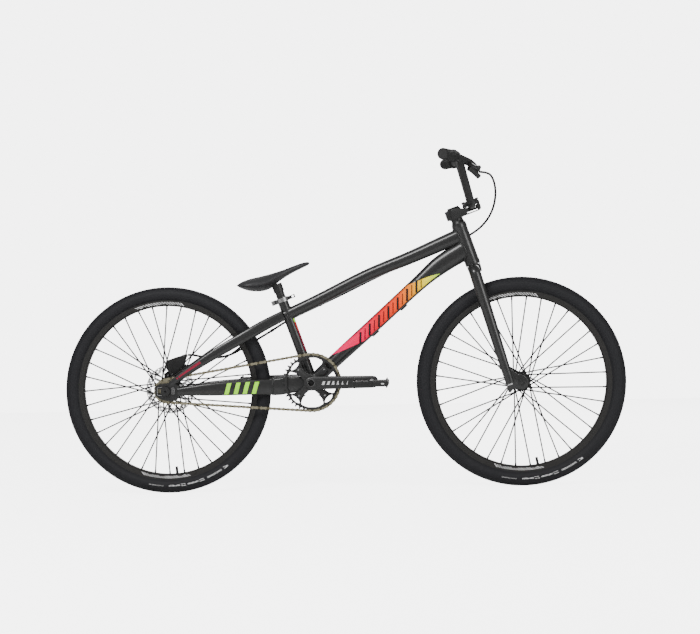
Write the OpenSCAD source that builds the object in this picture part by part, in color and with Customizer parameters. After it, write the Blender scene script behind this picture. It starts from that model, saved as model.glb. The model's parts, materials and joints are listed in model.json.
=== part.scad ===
/* [Wheels] */
// Distance between the two wheel axles
wheelbase = 1011; // [990:1:1030]
// Radius of the rear tyre over its tread
rear_tyre_r = 296; // [294:0.5:298]
// Radius of the front tyre over its tread
front_tyre_r = 298.5; // [296:0.5:300]
// Width of each tyre
tyre_w = 44; // [42:1:46]
// Radius of the bead seats of the rims
bead_r = 253.5; // [253:0.5:254]
// Width of each rim
rim_w = 25; // [23:1:27]
// Number of spokes in each wheel
spoke_count = 36; // [28, 32, 36]
// Radius of a spoke
spoke_r = 1; // [0.9:0.1:1.1]
// Radius of the brake rotor
rotor_r = 70; // [68:1:72]

/* [Frame] */
// Horizontal distance from the rear axle to the bottom bracket
bb_reach = 416; // [412:1:420]
// Height of the bottom bracket above the ground
bb_height = 311; // [305:1:316]
// Backward lean of the seat tube from the vertical, in degrees
seat_lean = 19; // [18:0.5:20]
// Outer radius of the seat tube
seat_tube_r = 15; // [14.6:0.1:15.4]
// Backward lean of the steering axis from the vertical, in degrees
head_lean = 18.5; // [18:0.5:19]
// Distance of the front axle in front of the steering axis
fork_rake = 15; // [13:1:18]
// Outer radius of the head tube
head_tube_r = 21.6; // [21:0.1:22.4]

/* [Drive] */
// Teeth on the chainring
ring_teeth = 40; // [39, 40, 41]
// Teeth on the rear cog
cog_teeth = 16; // [15, 16, 17]
// Distance of the chain from the centre plane
chain_line = 44; // [43:0.5:45]
// Length of the crank arms between their axes
crank_len = 172.5; // [170:0.5:175]
// Length of a pedal across the bike
pedal_w = 98; // [90:1:104]
// Length of a pedal along the bike
pedal_l = 100; // [90:1:106]

/* [Cockpit] */
// Distance from the steering axis forward to the handlebar clamp
stem_reach = 52; // [50:1:54]
// Radius of the handlebar tube
bar_r = 11.1; // [11:0.1:11.2]
// Half of the handlebar's width over its ends
bar_half = 362; // [350:1:370]
// Length of each grip
grip_len = 130; // [120:1:136]
// Radius of each grip
grip_r = 16; // [15:0.5:17]

/* [Hidden] */

$fn = 64;
// Distance by which a cutting shape passes through a face
over = 1;
// Radial clearance of a running fit
fit = 0.05;

frame_black = [0.07, 0.07, 0.08];
part_black = [0.12, 0.12, 0.13];
rubber_black = [0.09, 0.09, 0.09];
silver = [0.75, 0.75, 0.77];
chain_grey = [0.55, 0.54, 0.47];

// The ground is z = 0 and the middle of the whole length is x = 0.
length_over_tyres = wheelbase + rear_tyre_r + front_tyre_r;
rear_x = rear_tyre_r - length_over_tyres / 2;
front_x = rear_x + wheelbase;

// Place given by its distance ahead of the rear axle, its side offset and its height
function at(x, y, z) = [rear_x + x, y, z];

rear_axle_p = at(0, 0, rear_tyre_r);
front_axle_p = [front_x, 0, front_tyre_r];
bb_p = at(bb_reach, 0, bb_height);
pedal_p = bb_p + [crank_len, 0, 0];

// Foot of the steering axis, level with the front axle along that axis
steer_p = front_axle_p - fork_rake * [cos(head_lean), 0, sin(head_lean)];
// Place given in front of the steering axis, to the side and up along the axis
function steer_at(n, y, s) = steer_p + [
    n * cos(head_lean) - s * sin(head_lean), y, n * sin(head_lean) + s * cos(head_lean)
];

// Points of a smooth curve through a list of stations, with the given steps in each span
function smooth(p, steps) = let (m = len(p) - 1) concat([
    for (i = [0 : m - 1], j = [0 : steps - 1])
        let (a = p[max(i - 1, 0)], b = p[i], c = p[i + 1], d = p[min(i + 2, m)], t = j / steps)
            0.5 * (2 * b + (c - a) * t + (2 * a - 5 * b + 4 * c - d) * t * t
                + (3 * b - a - 3 * c + d) * t * t * t)
], [p[m]]);

// Outline of a rounded section of height h and width w; a lower power makes it squarer
function section(h, w, power, sides) = [
    for (i = [0 : sides - 1]) let (c = cos(360 * i / sides), s = sin(360 * i / sides)) [
        sign(c) * pow(abs(c), power) * h / 2, sign(s) * pow(abs(s), power) * w / 2
    ]
];

// Outward triangles that join a stack of rings; the first point is number `first`
function band(rings, sides, first = 0) = [
    for (r = [0 : rings - 2], i = [0 : sides - 1], half = [0, 1])
        let (k = (i + 1) % sides, a = first + r * sides, b = a + sides)
            half == 0 ? [b + k, b + i, a + i] : [a + k, b + k, a + i]
];

// The same faces seen from the other side
function turned_over(faces) = [for (f = faces) [for (i = [len(f) - 1 : -1 : 0]) f[i]]];

// Faces of a solid skinned over a stack of rings
function skin_faces(rings, sides) = concat(
    [[for (i = [sides - 1 : -1 : 0]) i], [for (i = [0 : sides - 1]) (rings - 1) * sides + i]],
    band(rings, sides)
);

// Faces of an open-ended wall between an outer and an inner stack of rings
function wall_faces(rings, sides) = let (inner = rings * sides, last = inner - sides) concat(
    band(rings, sides),
    turned_over(band(rings, sides, inner)),
    [for (i = [0 : sides - 1]) let (k = (i + 1) % sides) [k, i, inner + i, inner + k]],
    [for (i = [0 : sides - 1]) let (k = (i + 1) % sides)
        [last + i, last + k, inner + last + k, inner + last + i]]
);

// Rings of points for stations of [x, y, z, height, width], less a margin all round
function loft_rings(stations, power, sides, less = 0) = let (last = len(stations) - 1) [
    for (i = [0 : last])
        let (
            q = stations[i],
            d = stations[min(i + 1, last)] - stations[max(i - 1, 0)],
            run = norm([d.x, d.z]),
            up = [-d.z, 0, d.x] / run
        )
        for (p = section(q[3] - 2 * less, q[4] - 2 * less, power, sides))
            [q.x, q.y, q.z] + p.x * up + [0, p.y, 0]
];

// Solid with an upright rounded section along its stations
module loft(stations, power = 0.8, sides = 20) {
    polyhedron(loft_rings(stations, power, sides), skin_faces(len(stations), sides));
}

// Open-ended tube with an upright rounded section and a wall of even thickness
module hollow_loft(stations, wall, power = 0.8, sides = 16) {
    polyhedron(
        concat(loft_rings(stations, power, sides), loft_rings(stations, power, sides, wall)),
        wall_faces(len(stations), sides)
    );
}

// Rings of points of radius r round a path that never runs along the given direction
function pipe_rings(path, r, sides, never) = let (last = len(path) - 1) [
    for (i = [0 : last])
        let (
            d = path[min(i + 1, last)] - path[max(i - 1, 0)],
            t = d / norm(d),
            side = cross(t, never),
            u = side / norm(side),
            v = cross(t, u)
        )
        for (k = [0 : sides - 1])
            path[i] + r * (cos(360 * k / sides) * v + sin(360 * k / sides) * u)
];

// Solid round cord of radius r through a list of points
module pipe(path, r, sides, never) {
    polyhedron(pipe_rings(path, r, sides, never), skin_faces(len(path), sides));
}

// Open-ended round tube through a list of points
module hollow_pipe(path, r, wall, sides, never) {
    polyhedron(
        concat(pipe_rings(path, r, sides, never), pipe_rings(path, r - wall, sides, never)),
        wall_faces(len(path), sides)
    );
}

// Round rod between two points, which may taper
module rod(a, b, r, r_end = 0) {
    d = b - a;
    translate(a)
        rotate([0, acos(d.z / norm(d)), atan2(d.y, d.x)])
            cylinder(h = norm(d), r1 = r, r2 = r_end == 0 ? r : r_end);
}

// Rod along the bike's width at a place, from y0 to y1
module across(p, y0, y1, r, r_end = 0) {
    rod([p.x, min(y0, y1), p.z], [p.x, max(y0, y1), p.z], r, r_end);
}

// Flat plate whose outline lies in the side view, from y0 to y1
module side_plate(p, y0, y1) {
    translate([p.x, y1, p.z]) rotate([90, 0, 0]) linear_extrude(y1 - y0) children();
}

// Frame whose z is up the steering axis and whose x points forward from it
module steered() {
    translate(steer_p) rotate([0, -head_lean, 0]) children();
}

// Frame whose z is up the seat tube, from the bottom bracket
module seated() {
    translate(bb_p) rotate([0, -seat_lean, 0]) children();
}

// The shape on both sides of the centre plane
module both_sides() {
    children();
    mirror([0, 1, 0]) children();
}

/* Frame */

head_low = 362;
head_high = 479;
head_bore = 18.5;
steerer_r = 14.3;

module head_tube() {
    color(frame_black) steered() difference() {
        translate([0, 0, head_low]) cylinder(h = head_high - head_low, r = head_tube_r);
        translate([0, 0, head_low - over]) cylinder(h = head_high - head_low + 2 * over, r = head_bore);
    }
}

// Room that the tubes leave for the head tube and the seat tube
module head_room() {
    steered() translate([0, 0, head_low - 30]) cylinder(h = head_high - head_low + 60, r = head_tube_r);
}

seat_tube_len = 256;

module seat_room() {
    seated() cylinder(h = seat_tube_len, r = seat_tube_r);
}

bb_shell_r = 22;
bb_shell_half = 36.5;

module bb_room() {
    across(bb_p, -60, 60, bb_shell_r);
}

top_tube_stations = [
    concat(at(352, 0, 505), 34, 32), concat(at(443, 0, 547), 33, 33),
    concat(at(578, 0, 611), 34, 35), concat(at(700, 0, 657.5), 37, 37),
    concat(at(793, 0, 695.5), 41, 38), concat(at(842, 0, 716), 43, 38)
];

module top_tube() {
    color(frame_black) difference() {
        hollow_loft(smooth(top_tube_stations, 2), 2.5);
        seat_room();
        head_room();
    }
}

down_tube_stations = [
    concat(at(424, 0, 318), 38, 48), concat(at(478, 0, 366.5), 39, 47),
    concat(at(601, 0, 474), 41.5, 46), concat(at(721, 0, 580), 43, 44),
    concat(at(790, 0, 636), 54, 42), concat(at(856, 0, 675), 58, 40)
];

module down_tube() {
    color(frame_black) difference() {
        hollow_loft(smooth(down_tube_stations, 2), 2.5);
        bb_room();
        seat_room();
        head_room();
        translate(at(790, -40, 670)) rotate([0, -22.5, 0]) cube([120, 80, 80]);
    }
}

post_r = 12.7;

module seat_tube() {
    color(frame_black) difference() {
        seated() difference() {
            cylinder(h = seat_tube_len, r = seat_tube_r);
            translate([0, 0, -over]) cylinder(h = seat_tube_len + 2 * over, r = post_r + fit);
            translate([-2 * seat_tube_r, -1, seat_tube_len - 24]) cube([2 * seat_tube_r, 2, 30]);
        }
        bb_room();
    }
}

bb_bore = 19;

module bb_shell() {
    color(frame_black) difference() {
        across(bb_p, -bb_shell_half, bb_shell_half, bb_shell_r);
        across(bb_p, -bb_shell_half - over, bb_shell_half + over, bb_bore);
    }
}

yoke_back = 302.5;
yoke_half_w = 38;
yoke_low = 276;
yoke_high = 323;

module chainstay_yoke() {
    length = bb_reach - 12 - yoke_back;
    color(frame_black) difference() {
        side_plate(at(yoke_back, 0, yoke_low), -yoke_half_w, yoke_half_w)
            polygon([[0, 0], [length, 8], [length, yoke_high - yoke_low + 4],
                     [40, yoke_high - yoke_low + 4], [0, yoke_high - yoke_low]]);
        bb_room();
        seat_room();
        both_sides()
            side_plate(at(yoke_back + 22, 0, yoke_low + 14), -yoke_half_w - over, -yoke_half_w + 12)
            polygon([[0, 0], [50, 3], [50, 21], [0, 21]]);
        translate(at(yoke_back + 14, -14, yoke_low - over)) cube([40, 28, 60]);
    }
}

chainstay_stations = [
    concat(at(34, -58, 293.5), 21, 11), concat(at(70, -57.5, 296), 27, 13),
    concat(at(130, -52, 298.5), 37, 16), concat(at(215, -42, 301), 43, 17),
    concat(at(270, -35, 301), 44, 17), concat(at(302.4, -30, 300), 45, 16)
];

module chainstays() {
    color(frame_black) both_sides() difference() {
        hollow_loft(smooth(chainstay_stations, 2), 2.5, 0.6);
        side_plate(rear_axle_p, -70, -50) dropout_outline();
    }
}

seatstay_stations = [
    concat(at(338, -12, 503), 29, 14), concat(at(283, -25, 476.5), 31, 16),
    concat(at(239, -36, 452.5), 31, 17), concat(at(195, -43, 429), 30, 17),
    concat(at(153, -48, 406), 28, 16), concat(at(111, -53, 381), 24, 14),
    concat(at(74, -56, 358), 20, 12), concat(at(38, -58, 334), 17, 11),
    concat(at(14, -58.5, 316), 15, 9)
];

module seatstays() {
    color(frame_black) both_sides() difference() {
        hollow_loft(smooth(seatstay_stations, 1), 2.5, 0.7);
        seat_room();
        side_plate(rear_axle_p, -70, -50) dropout_outline();
        translate(at(320, 0, 440)) cube([60, 20, 120]);
    }
}

dropout_in = 55.5;
dropout_out = 61.5;
axle_slot = [36, 14];

module dropout_outline() {
    polygon([[-30, 14], [-30, -12], [-12, -24], [16, -30], [33, -25], [40, -8], [40, 8],
             [28, 20], [18, 27], [8, 24], [-6, 22], [-18, 21]]);
}

module dropout_profile() {
    difference() {
        dropout_outline();
        translate([0, 0]) square(axle_slot, center = true);
        for (x = [-1, 1]) translate([x * axle_slot.x / 2, 0]) circle(axle_slot.y / 2);
    }
}

module right_dropout() {
    color(frame_black) side_plate(rear_axle_p, -dropout_out, -dropout_in) dropout_profile();
}

// The left dropout carries two lugs for the brake caliper.
module left_dropout() {
    color(frame_black) {
        side_plate(rear_axle_p, dropout_in, dropout_out) dropout_profile();
        side_plate(rear_axle_p, dropout_out, dropout_out + 4) difference() {
            polygon([[-20, 14], [-20, 44], [-8, 52], [40, 74], [52, 62], [26, 26], [16, 14]]);
            for (p = caliper_holes) translate(p) circle(3.1);
        }
    }
}

caliper_holes = [[-8, 40], [38, 64]];

module chain_tensioners() {
    color(silver) both_sides() side_plate(rear_axle_p, -dropout_out - 2.5, -dropout_out) difference() {
        translate([2, 0]) square([50, 24], center = true);
        circle(rear_axle_r);
        translate([-15, 0]) square([8, 16], center = true);
        for (x = [18, 21, 24]) translate([x, 0]) square([1.2, 14], center = true);
    }
}

// Bearing cups pressed into both ends of the head tube
module headset_bearings() {
    color(part_black) steered() {
        for (s = [[head_high, 4], [head_low, -4]]) difference() {
            union() {
                translate([0, 0, min(s[0], s[0] + s[1])]) cylinder(h = 4, r = head_tube_r - 0.6);
                translate([0, 0, min(s[0], s[0] - 4 * s[1])]) cylinder(h = 16, r = head_bore);
            }
            translate([0, 0, s[0] - 30]) cylinder(h = 60, r = steerer_r + fit);
        }
    }
}

spindle_r = 12;
cup_out = 45;

// Bearing cups screwed into both ends of the bottom bracket shell
module bb_cups() {
    color(part_black) both_sides() difference() {
        union() {
            across(bb_p, -cup_out, -bb_shell_half, 20.5);
            across(bb_p, -bb_shell_half, -bb_shell_half + 14, bb_bore);
        }
        across(bb_p, -cup_out - over, 0, spindle_r + fit);
    }
}

collar_low = seat_tube_len - 13;
collar_high = seat_tube_len - 1;
ear_x = -27;
cam_y = 15;

module seat_collar() {
    height = collar_high - collar_low;
    color(silver) seated() difference() {
        union() {
            translate([0, 0, collar_low]) cylinder(h = height, r = 18.4);
            translate([-31, -9, collar_low]) cube([16, 17, height]);
            for (z = [collar_low, collar_high - 0.7]) translate([ear_x - 3.5, 7, z]) cube([7, 12, 0.7]);
            translate([ear_x, cam_y, collar_low]) cylinder(h = height, r = 3);
            translate([ear_x, -13, collar_low + height / 2]) rotate([-90, 0, 0]) cylinder(h = 5, r = 4.5);
        }
        translate([0, 0, collar_low - over]) cylinder(h = 20, r = seat_tube_r);
        translate([-40, -1.2, collar_low - over]) cube([30, 2.4, 20]);
    }
}

// Quick-release lever that folds round the left of the collar, with a looped end in front
module collar_lever() {
    mid = (collar_low + collar_high) / 2;
    color(part_black) seated() difference() {
        union() {
            translate([ear_x, cam_y, mid - 5]) cylinder(h = 10, r = 6.5);
            translate([0, 0, mid - 5]) linear_extrude(10) difference() {
                circle(24.5);
                circle(19.5);
                translate([-60, -60]) square([120, 60]);
                translate([-60, -1]) square([47, 60]);
            }
            translate([ear_x, 17.6, mid - 5]) cube([20, 4, 10]);
            translate([24, 1, mid - 5]) cube([14, 4.5, 10]);
        }
        translate([ear_x, cam_y, mid - 10]) cylinder(h = 20, r = 3 + fit);
        translate([31.5, -5, mid]) rotate([-90, 0, 0]) cylinder(h = 20, r = 3.2);
    }
}

/* Seat */

post_low = 168;
post_high = 298;

module seatpost() {
    color(part_black) seated() difference() {
        union() {
            translate([0, 0, post_low]) cylinder(h = post_high - post_low, r = post_r);
            translate([0, 0, seat_tube_len + 18]) cylinder(h = post_high - seat_tube_len - 18, r = 15);
        }
        translate([0, 0, post_low - over]) cylinder(h = post_high - post_low - 6, r = post_r - 2.2);
    }
}

// Saddle stations from tail to nose: x, middle height, thickness and width
saddle_stations = [
    concat(at(208, 0, 589), 5, 60), concat(at(222, 0, 591), 24, 112),
    concat(at(246, 0, 591), 36, 130), concat(at(277, 0, 593.5), 43, 120),
    concat(at(304, 0, 600), 40, 88), concat(at(332, 0, 614), 28, 54),
    concat(at(361, 0, 628), 20, 40), concat(at(390, 0, 638.5), 15, 32),
    concat(at(408, 0, 645), 9, 24), concat(at(415, 0, 647), 3, 12)
];

module saddle() {
    color(part_black) difference() {
        loft(smooth(saddle_stations, 2), 0.9);
        seated() translate([0, 0, post_low]) cylinder(h = post_high - post_low, r = 15);
    }
}

/* Fork */

crown_low = 312;
crown_high = 357;
leg_top_n = -3;
leg_foot_n = -16;
leg_top_y = 47;
leg_foot_y = 56;
leg_foot_s = -10;
leg_foot_r = 12;
leg_wall = 2.2;
front_drop_in = 50.5;
front_drop_out = 60;
front_boss_r = 20.5;
front_axle_r = 10;

// Crown with the steerer tube pressed into it
module fork_crown() {
    color(frame_black) steered() {
        difference() {
            union() {
                hull() {
                    translate([0, 0, crown_low + 8])
                        cylinder(h = crown_high - crown_low - 8, r = 20, $fn = 32);
                    both_sides() translate([leg_top_n, leg_top_y, crown_low + 4])
                        cylinder(h = crown_high - crown_low - 18, r = 15.5, $fn = 32);
                }
                translate([0, 0, crown_high - 4]) cylinder(h = 520 - crown_high + 4, r = steerer_r);
            }
            translate([0, 0, crown_low]) cylinder(h = 520 - crown_low + over, r = steerer_r - 2.5);
        }
    }
}

module fork_legs() {
    top = [leg_top_n - 0.5, leg_top_y, crown_low + 4];
    foot = [leg_foot_n, leg_foot_y, leg_foot_s];
    axis = foot - top;
    color(frame_black) steered() both_sides() difference() {
        rod(top, foot, 14.6, leg_foot_r);
        rod(top - 0.01 * axis, top + 0.85 * axis, 14.6 - leg_wall, leg_foot_r - leg_wall);
        fork_end();
    }
}

// Plate and axle boss of the fork's left end
module fork_end() {
    translate([0, front_drop_out, 0]) rotate([90, 0, 0])
        linear_extrude(front_drop_out - front_drop_in) union() {
            translate([fork_rake, 0]) circle(front_boss_r);
            polygon([[-22, -8], [-6, -11], [10, -18], [26, 14], [12, 30], [-4, 50], [-18, 44]]);
        }
}

module fork_dropouts() {
    color(frame_black) steered() both_sides() difference() {
        fork_end();
        translate([fork_rake, 0, 0]) rotate([-90, 0, 0]) cylinder(h = 80, r = front_axle_r);
    }
}

module front_axle() {
    color(part_black) difference() {
        across(front_axle_p, -front_drop_out - 2, front_drop_out + 2, front_axle_r);
        both_sides() translate(front_axle_p) rotate([90, 0, 0]) translate([0, 0, front_drop_out - 6])
            cylinder(h = 20, r = 5, $fn = 6);
    }
}

// Conical cover over the upper bearing and a spacer above it
module headset_spacers() {
    color(part_black) steered() difference() {
        union() {
            translate([0, 0, head_high + 4.3]) cylinder(h = 7, r1 = 20, r2 = 17);
            translate([0, 0, head_high + 11.3]) cylinder(h = 6.7, r = 17);
            translate([0, 0, head_low - 4.7]) mirror([0, 0, 1]) cylinder(h = 0.3, r = 20);
        }
        translate([0, 0, head_low - 20]) cylinder(h = 200, r = steerer_r);
    }
}

stem_low = 497;
stem_high = 528;
bar_s = 518;
stem_half_w = 27;

module stem_body() {
    color(part_black) steered() difference() {
        union() {
            translate([0, 0, stem_low]) cylinder(h = stem_high - stem_low, r = 20);
            translate([-27, -15, stem_low]) cube([20, 30, stem_high - stem_low]);
            translate([0, stem_half_w, 0]) rotate([90, 0, 0]) linear_extrude(2 * stem_half_w)
                polygon([[0, stem_low + 1], [70, 499], [77, 504], [77, bar_s], [27, bar_s], [12, stem_high - 2],
                         [0, stem_high]]);
        }
        translate([0, 0, stem_low - over]) cylinder(h = 60, r = steerer_r);
        translate([-40, -1, stem_low - over]) cube([30, 2, 60]);
        translate([stem_reach, -40, bar_s]) rotate([-90, 0, 0]) cylinder(h = 80, r = bar_r);
        translate([36, -40, 502]) cube([28, 80, 3]);
        for (n = [-20, 20], y = [-18, 18]) translate([stem_reach + n, y, 500])
            cylinder(h = 40, r = 2.5);
    }
}

cap_thick = 15;
// Height of the bolt seats over the cap's split line
cap_seat = 11;
cap_gap = 0.3;

module stem_cap() {
    color(part_black) steered() difference() {
        translate([stem_reach, stem_half_w, bar_s + cap_gap]) rotate([90, 0, 0])
            linear_extrude(2 * stem_half_w)
            polygon([[-25, 0], [25, 0], [25, cap_seat], [12.5, cap_seat], [9, cap_thick], [-9, cap_thick],
                     [-12.5, cap_seat], [-25, cap_seat]]);
        translate([stem_reach, -40, bar_s]) rotate([-90, 0, 0]) cylinder(h = 80, r = bar_r);
        for (n = [-20, 20], y = [-18, 18]) translate([stem_reach + n, y, bar_s - over])
            cylinder(h = 40, r = 3.1);
    }
}

module stem_bolts() {
    color(part_black) steered() {
        for (n = [-20, 20], y = [-18, 18]) translate([stem_reach + n, y, 0]) {
            translate([0, 0, 501]) cylinder(h = bar_s + cap_seat - 500, r = 2.5);
            difference() {
                translate([0, 0, bar_s + cap_gap + cap_seat]) cylinder(h = 6, r = 4.8);
                translate([0, 0, bar_s + cap_gap + cap_seat + 3]) cylinder(h = 10, r = 2.5, $fn = 6);
            }
        }
        for (s = [504, 521]) translate([-21, 15, s]) rotate([-90, 0, 0]) cylinder(h = 6, r = 4.2);
        difference() {
            translate([0, 0, stem_high]) cylinder(h = 4, r = 17);
            translate([0, 0, stem_high + 1]) cylinder(h = 10, r = 3, $fn = 6);
        }
    }
}

/* Handlebar */

bar_low_p = steer_at(stem_reach, 0, bar_s);
bar_top_p = at(848, -172, 934.5);
bar_end_p = at(806.5, -bar_half, 936);
// Corner at which the right half of the bar turns upwards
bar_low_bend = bar_low_p + [0, -62, 2];
bar_wall = 2;

// Half of the bar's middle line, from the clamp out to the right end
bar_half_path = concat(
    [bar_low_p + [0, -30, 0]],
    bend(bar_low_p + [0, -30, 0], bar_low_bend, bar_top_p, 26, 4),
    bend(bar_low_bend, bar_top_p, bar_end_p, 34, 5),
    [bar_end_p]
);

// Arc-like points that round the corner b between a and c, starting d away from it
function bend(a, b, c, d, steps) = let (
    p = b + d * (a - b) / norm(a - b),
    q = b + d * (c - b) / norm(c - b)
) [for (i = [0 : steps]) let (t = i / steps) (1 - t) * (1 - t) * p + 2 * t * (1 - t) * b + t * t * q];

function flip(p) = [p.x, -p.y, p.z];

bar_path = concat(
    [for (i = [len(bar_half_path) - 1 : -1 : 0]) flip(bar_half_path[i])], bar_half_path
);

module handlebar() {
    color(part_black) hollow_pipe(bar_path, bar_r, bar_wall, 16, [1, 0, 0]);
}

// Share of the height of the rise at which the crossbar stands
cross_share = 0.58;
cross_r = 8;

module crossbar() {
    end = bar_low_bend + cross_share * (bar_top_p - bar_low_bend);
    color(part_black) difference() {
        across(end, end.y, -end.y, cross_r);
        across(end, end.y - over, -end.y + over, cross_r - 1.5);
        both_sides() rod(bar_low_bend, bar_top_p, bar_r);
    }
}

grip_dir = (bar_top_p - bar_end_p) / norm(bar_top_p - bar_end_p);

module grips() {
    color(rubber_black) both_sides() difference() {
        union() {
            rod(bar_end_p, bar_end_p + grip_len * grip_dir, grip_r);
            rod(bar_end_p + (grip_len - 5) * grip_dir, bar_end_p + grip_len * grip_dir, 17.8);
        }
        rod(bar_end_p - over * grip_dir, bar_end_p + (grip_len + over) * grip_dir, bar_r);
    }
}

module bar_plugs() {
    color(part_black) both_sides() {
        rod(bar_end_p - 4 * grip_dir, bar_end_p - 0.1 * grip_dir, 14);
        rod(bar_end_p - grip_dir, bar_end_p + 18 * grip_dir, bar_r - bar_wall - 0.4);
    }
}

// Brake lever: the perch clamps round the bar inside the right grip
clamp_p = bar_end_p + (grip_len + 22) * grip_dir;
lever_axis = [-0.485, 0, -0.875];
lever_pivot = at(879, -190, 913);

module lever_perch() {
    color(part_black) difference() {
        union() {
            rod(clamp_p - 7 * grip_dir, clamp_p + 7 * grip_dir, 16);
            hull() {
                rod(clamp_p + [8, -6, -2], clamp_p + [8, 8, -2], 9, $fn = 32);
                rod(lever_pivot + [3, -6, 6], lever_pivot + [3, 40, 6], 8, $fn = 32);
            }
            rod(lever_pivot - 9 * lever_axis, lever_pivot + 9 * lever_axis, 8);
            rod(at(884, -160, 914), at(902, -160, 895), 6.5);
        }
        rod(clamp_p - 60 * grip_dir, clamp_p + 60 * grip_dir, bar_r);
        rod(lever_pivot - 5.3 * lever_axis, lever_pivot + 5.3 * lever_axis, 30);
    }
    color(silver) rod(lever_pivot - 9 * lever_axis, lever_pivot + 9 * lever_axis, 3);
}

lever_path = [
    lever_pivot + [1, -6, 0], lever_pivot + [7, -30, -3], lever_pivot + [11, -60, -8],
    lever_pivot + [17, -90, -12], lever_pivot + [24, -112, -14]
];

module brake_lever() {
    color(part_black) difference() {
        union() {
            rod(lever_pivot - 5 * lever_axis, lever_pivot + 5 * lever_axis, 7.5);
            pipe(smooth(lever_path, 3), 4.6, 10, [1, 0, 0]);
            translate(lever_path[4]) sphere(6);
        }
        rod(lever_pivot - 20 * lever_axis, lever_pivot + 20 * lever_axis, 3 + fit);
    }
}

/* Wheels */

function ellipse_points(cx, rx, ry, count) = [
    for (i = [0 : count - 1]) [cx + rx * cos(360 * i / count), ry * sin(360 * i / count)]
];

// Turned solid about a wheel's axle; the outline's x is the radius and its y the side offset
module turned(p) {
    translate(p) rotate([90, 0, 0]) rotate_extrude($fn = 96) children();
}

rim_in_r = bead_r - 12.5;
rim_out_r = bead_r + 6;

module rim_outline() {
    w = rim_w / 2;
    polygon([
        [rim_in_r, -w + 4.5], [rim_in_r, w - 4.5], [rim_in_r + 4, w - 0.5], [rim_out_r, w],
        [rim_out_r, w - 1.8], [bead_r, w - 2.2], [bead_r - 1.5, w - 6], [bead_r - 1.5, 6 - w],
        [bead_r, 2.2 - w], [rim_out_r, 1.8 - w], [rim_out_r, -w], [rim_in_r + 4, 0.5 - w]
    ]);
}

// Box-section rim with holes for the nipples and the valve
module rim(p, valve_angle, side_step) {
    w = rim_w / 2;
    color(part_black) difference() {
        turned(p) difference() {
            rim_outline();
            polygon([[rim_in_r + 2.2, 5.5 - w], [rim_in_r + 2.2, w - 5.5], [rim_in_r + 5, w - 3],
                     [bead_r - 3.2, w - 3], [bead_r - 3.2, 3 - w], [rim_in_r + 5, 3 - w]]);
        }
        for (i = [0 : spoke_count - 1]) let (s = spoke_ends(i, valve_angle, side_step))
            translate(p) rod(s[1] - 14 * s[2], s[1] + 14 * s[2], nipple_r);
        translate(p) rotate([0, 90 - valve_angle, 0]) translate([0, 0, rim_in_r - 20])
            cylinder(h = 40, r = valve_root_r + 0.1);
    }
}

module tyre(p, r) {
    mid = (r + bead_r + 0.5) / 2;
    half = (r - bead_r - 0.5) / 2;
    color(rubber_black) turned(p) difference() {
        polygon(ellipse_points(mid, half, tyre_w / 2, 40));
        polygon(ellipse_points(mid, half - 3, tyre_w / 2 - 2.4, 40));
        rim_outline();
        translate([bead_r - 5, -rim_w / 2 + 3.5]) square([12, rim_w - 7]);
    }
}

valve_r = 3.85;
valve_tip_r = rim_in_r - 20;
tube_r = 15;
// Length and radius of the threaded end that a pump fits on
valve_tip_len = 17;
valve_root_r = 4.2;

// Rubber tube inside the tyre, with its valve stem standing through the rim
module inner_tube(p, r, valve_angle) {
    mid = bead_r + tube_r + 6.5;
    color(rubber_black) difference() {
        union() {
            turned(p) translate([mid, 0]) circle(tube_r);
            translate(p) rotate([0, 90 - valve_angle, 0]) {
                translate([0, 0, valve_tip_r]) cylinder(h = valve_tip_len, r = valve_r);
                translate([0, 0, valve_tip_r + valve_tip_len])
                    cylinder(h = mid - tube_r - valve_tip_r - valve_tip_len + 2, r = valve_root_r);
            }
        }
        turned(p) translate([mid, 0]) circle(tube_r - 1.5);
        translate(p) rotate([0, 90 - valve_angle, 0]) translate([0, 0, valve_tip_r - over])
            cylinder(h = mid - valve_tip_r, r = 1.3);
    }
}

nipple_r = 1.9;
nipple_len = 13;
flange_t = 3;
elbow_out = 2.5;
crossing = 720 * 3 / spoke_count;

// Start, end and direction of a spoke about its axle. side_step is [right flange, left flange,
// hole circle]; even spokes run to the right flange.
function spoke_ends(i, valve_angle, side_step) = let (
    side = i % 2,
    pair = floor(i / 2) % 2,
    rim_a = valve_angle + (i + 0.5) * 360 / spoke_count,
    hub_a = rim_a + (pair == 0 ? crossing : -crossing),
    flange = side_step[side],
    out = side == 0 ? -1 : 1,
    y = flange + out * (pair == side ? 1 : -1) * (flange_t / 2 + elbow_out),
    a = [side_step[2] * cos(hub_a), y, side_step[2] * sin(hub_a)],
    b = [(rim_in_r + 2) * cos(rim_a), out * 2, (rim_in_r + 2) * sin(rim_a)]
) [a, b, (b - a) / norm(b - a)];

// Spokes with their bent heads in the flanges, and the nipples that hold them in the rim
module spokes(p, valve_angle, side_step) {
    color(part_black) translate(p) for (i = [0 : spoke_count - 1]) let (
        s = spoke_ends(i, valve_angle, side_step),
        flange = side_step[i % 2],
        head_y = flange - sign(s[0].y - flange) * (flange_t / 2 + 1.2),
        nipple_start = s[1] - (nipple_len - 3) * s[2]
    ) {
        union() {
            rod(s[0], nipple_start, spoke_r);
            across(s[0], head_y, s[0].y + 0.7 * sign(s[0].y - flange), spoke_r * 1.05);
        }
        rod(nipple_start, s[1] + 3 * s[2], nipple_r);
    }
}

// Holes through both flanges for the spoke heads
module flange_holes(p, valve_angle, side_step) {
    for (i = [0 : spoke_count - 1]) let (s = spoke_ends(i, valve_angle, side_step), f = side_step[i % 2])
        translate(p) rod([s[0].x, f - 2.5, s[0].z], [s[0].x, f + 2.5, s[0].z], spoke_r + 0.1);
}

front_valve_a = -80;
rear_valve_a = -85.5;
front_flanges = [-31, 31, 22.5];
rear_flanges = [-28, 28, 25];
front_hub_half = 50;

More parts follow.
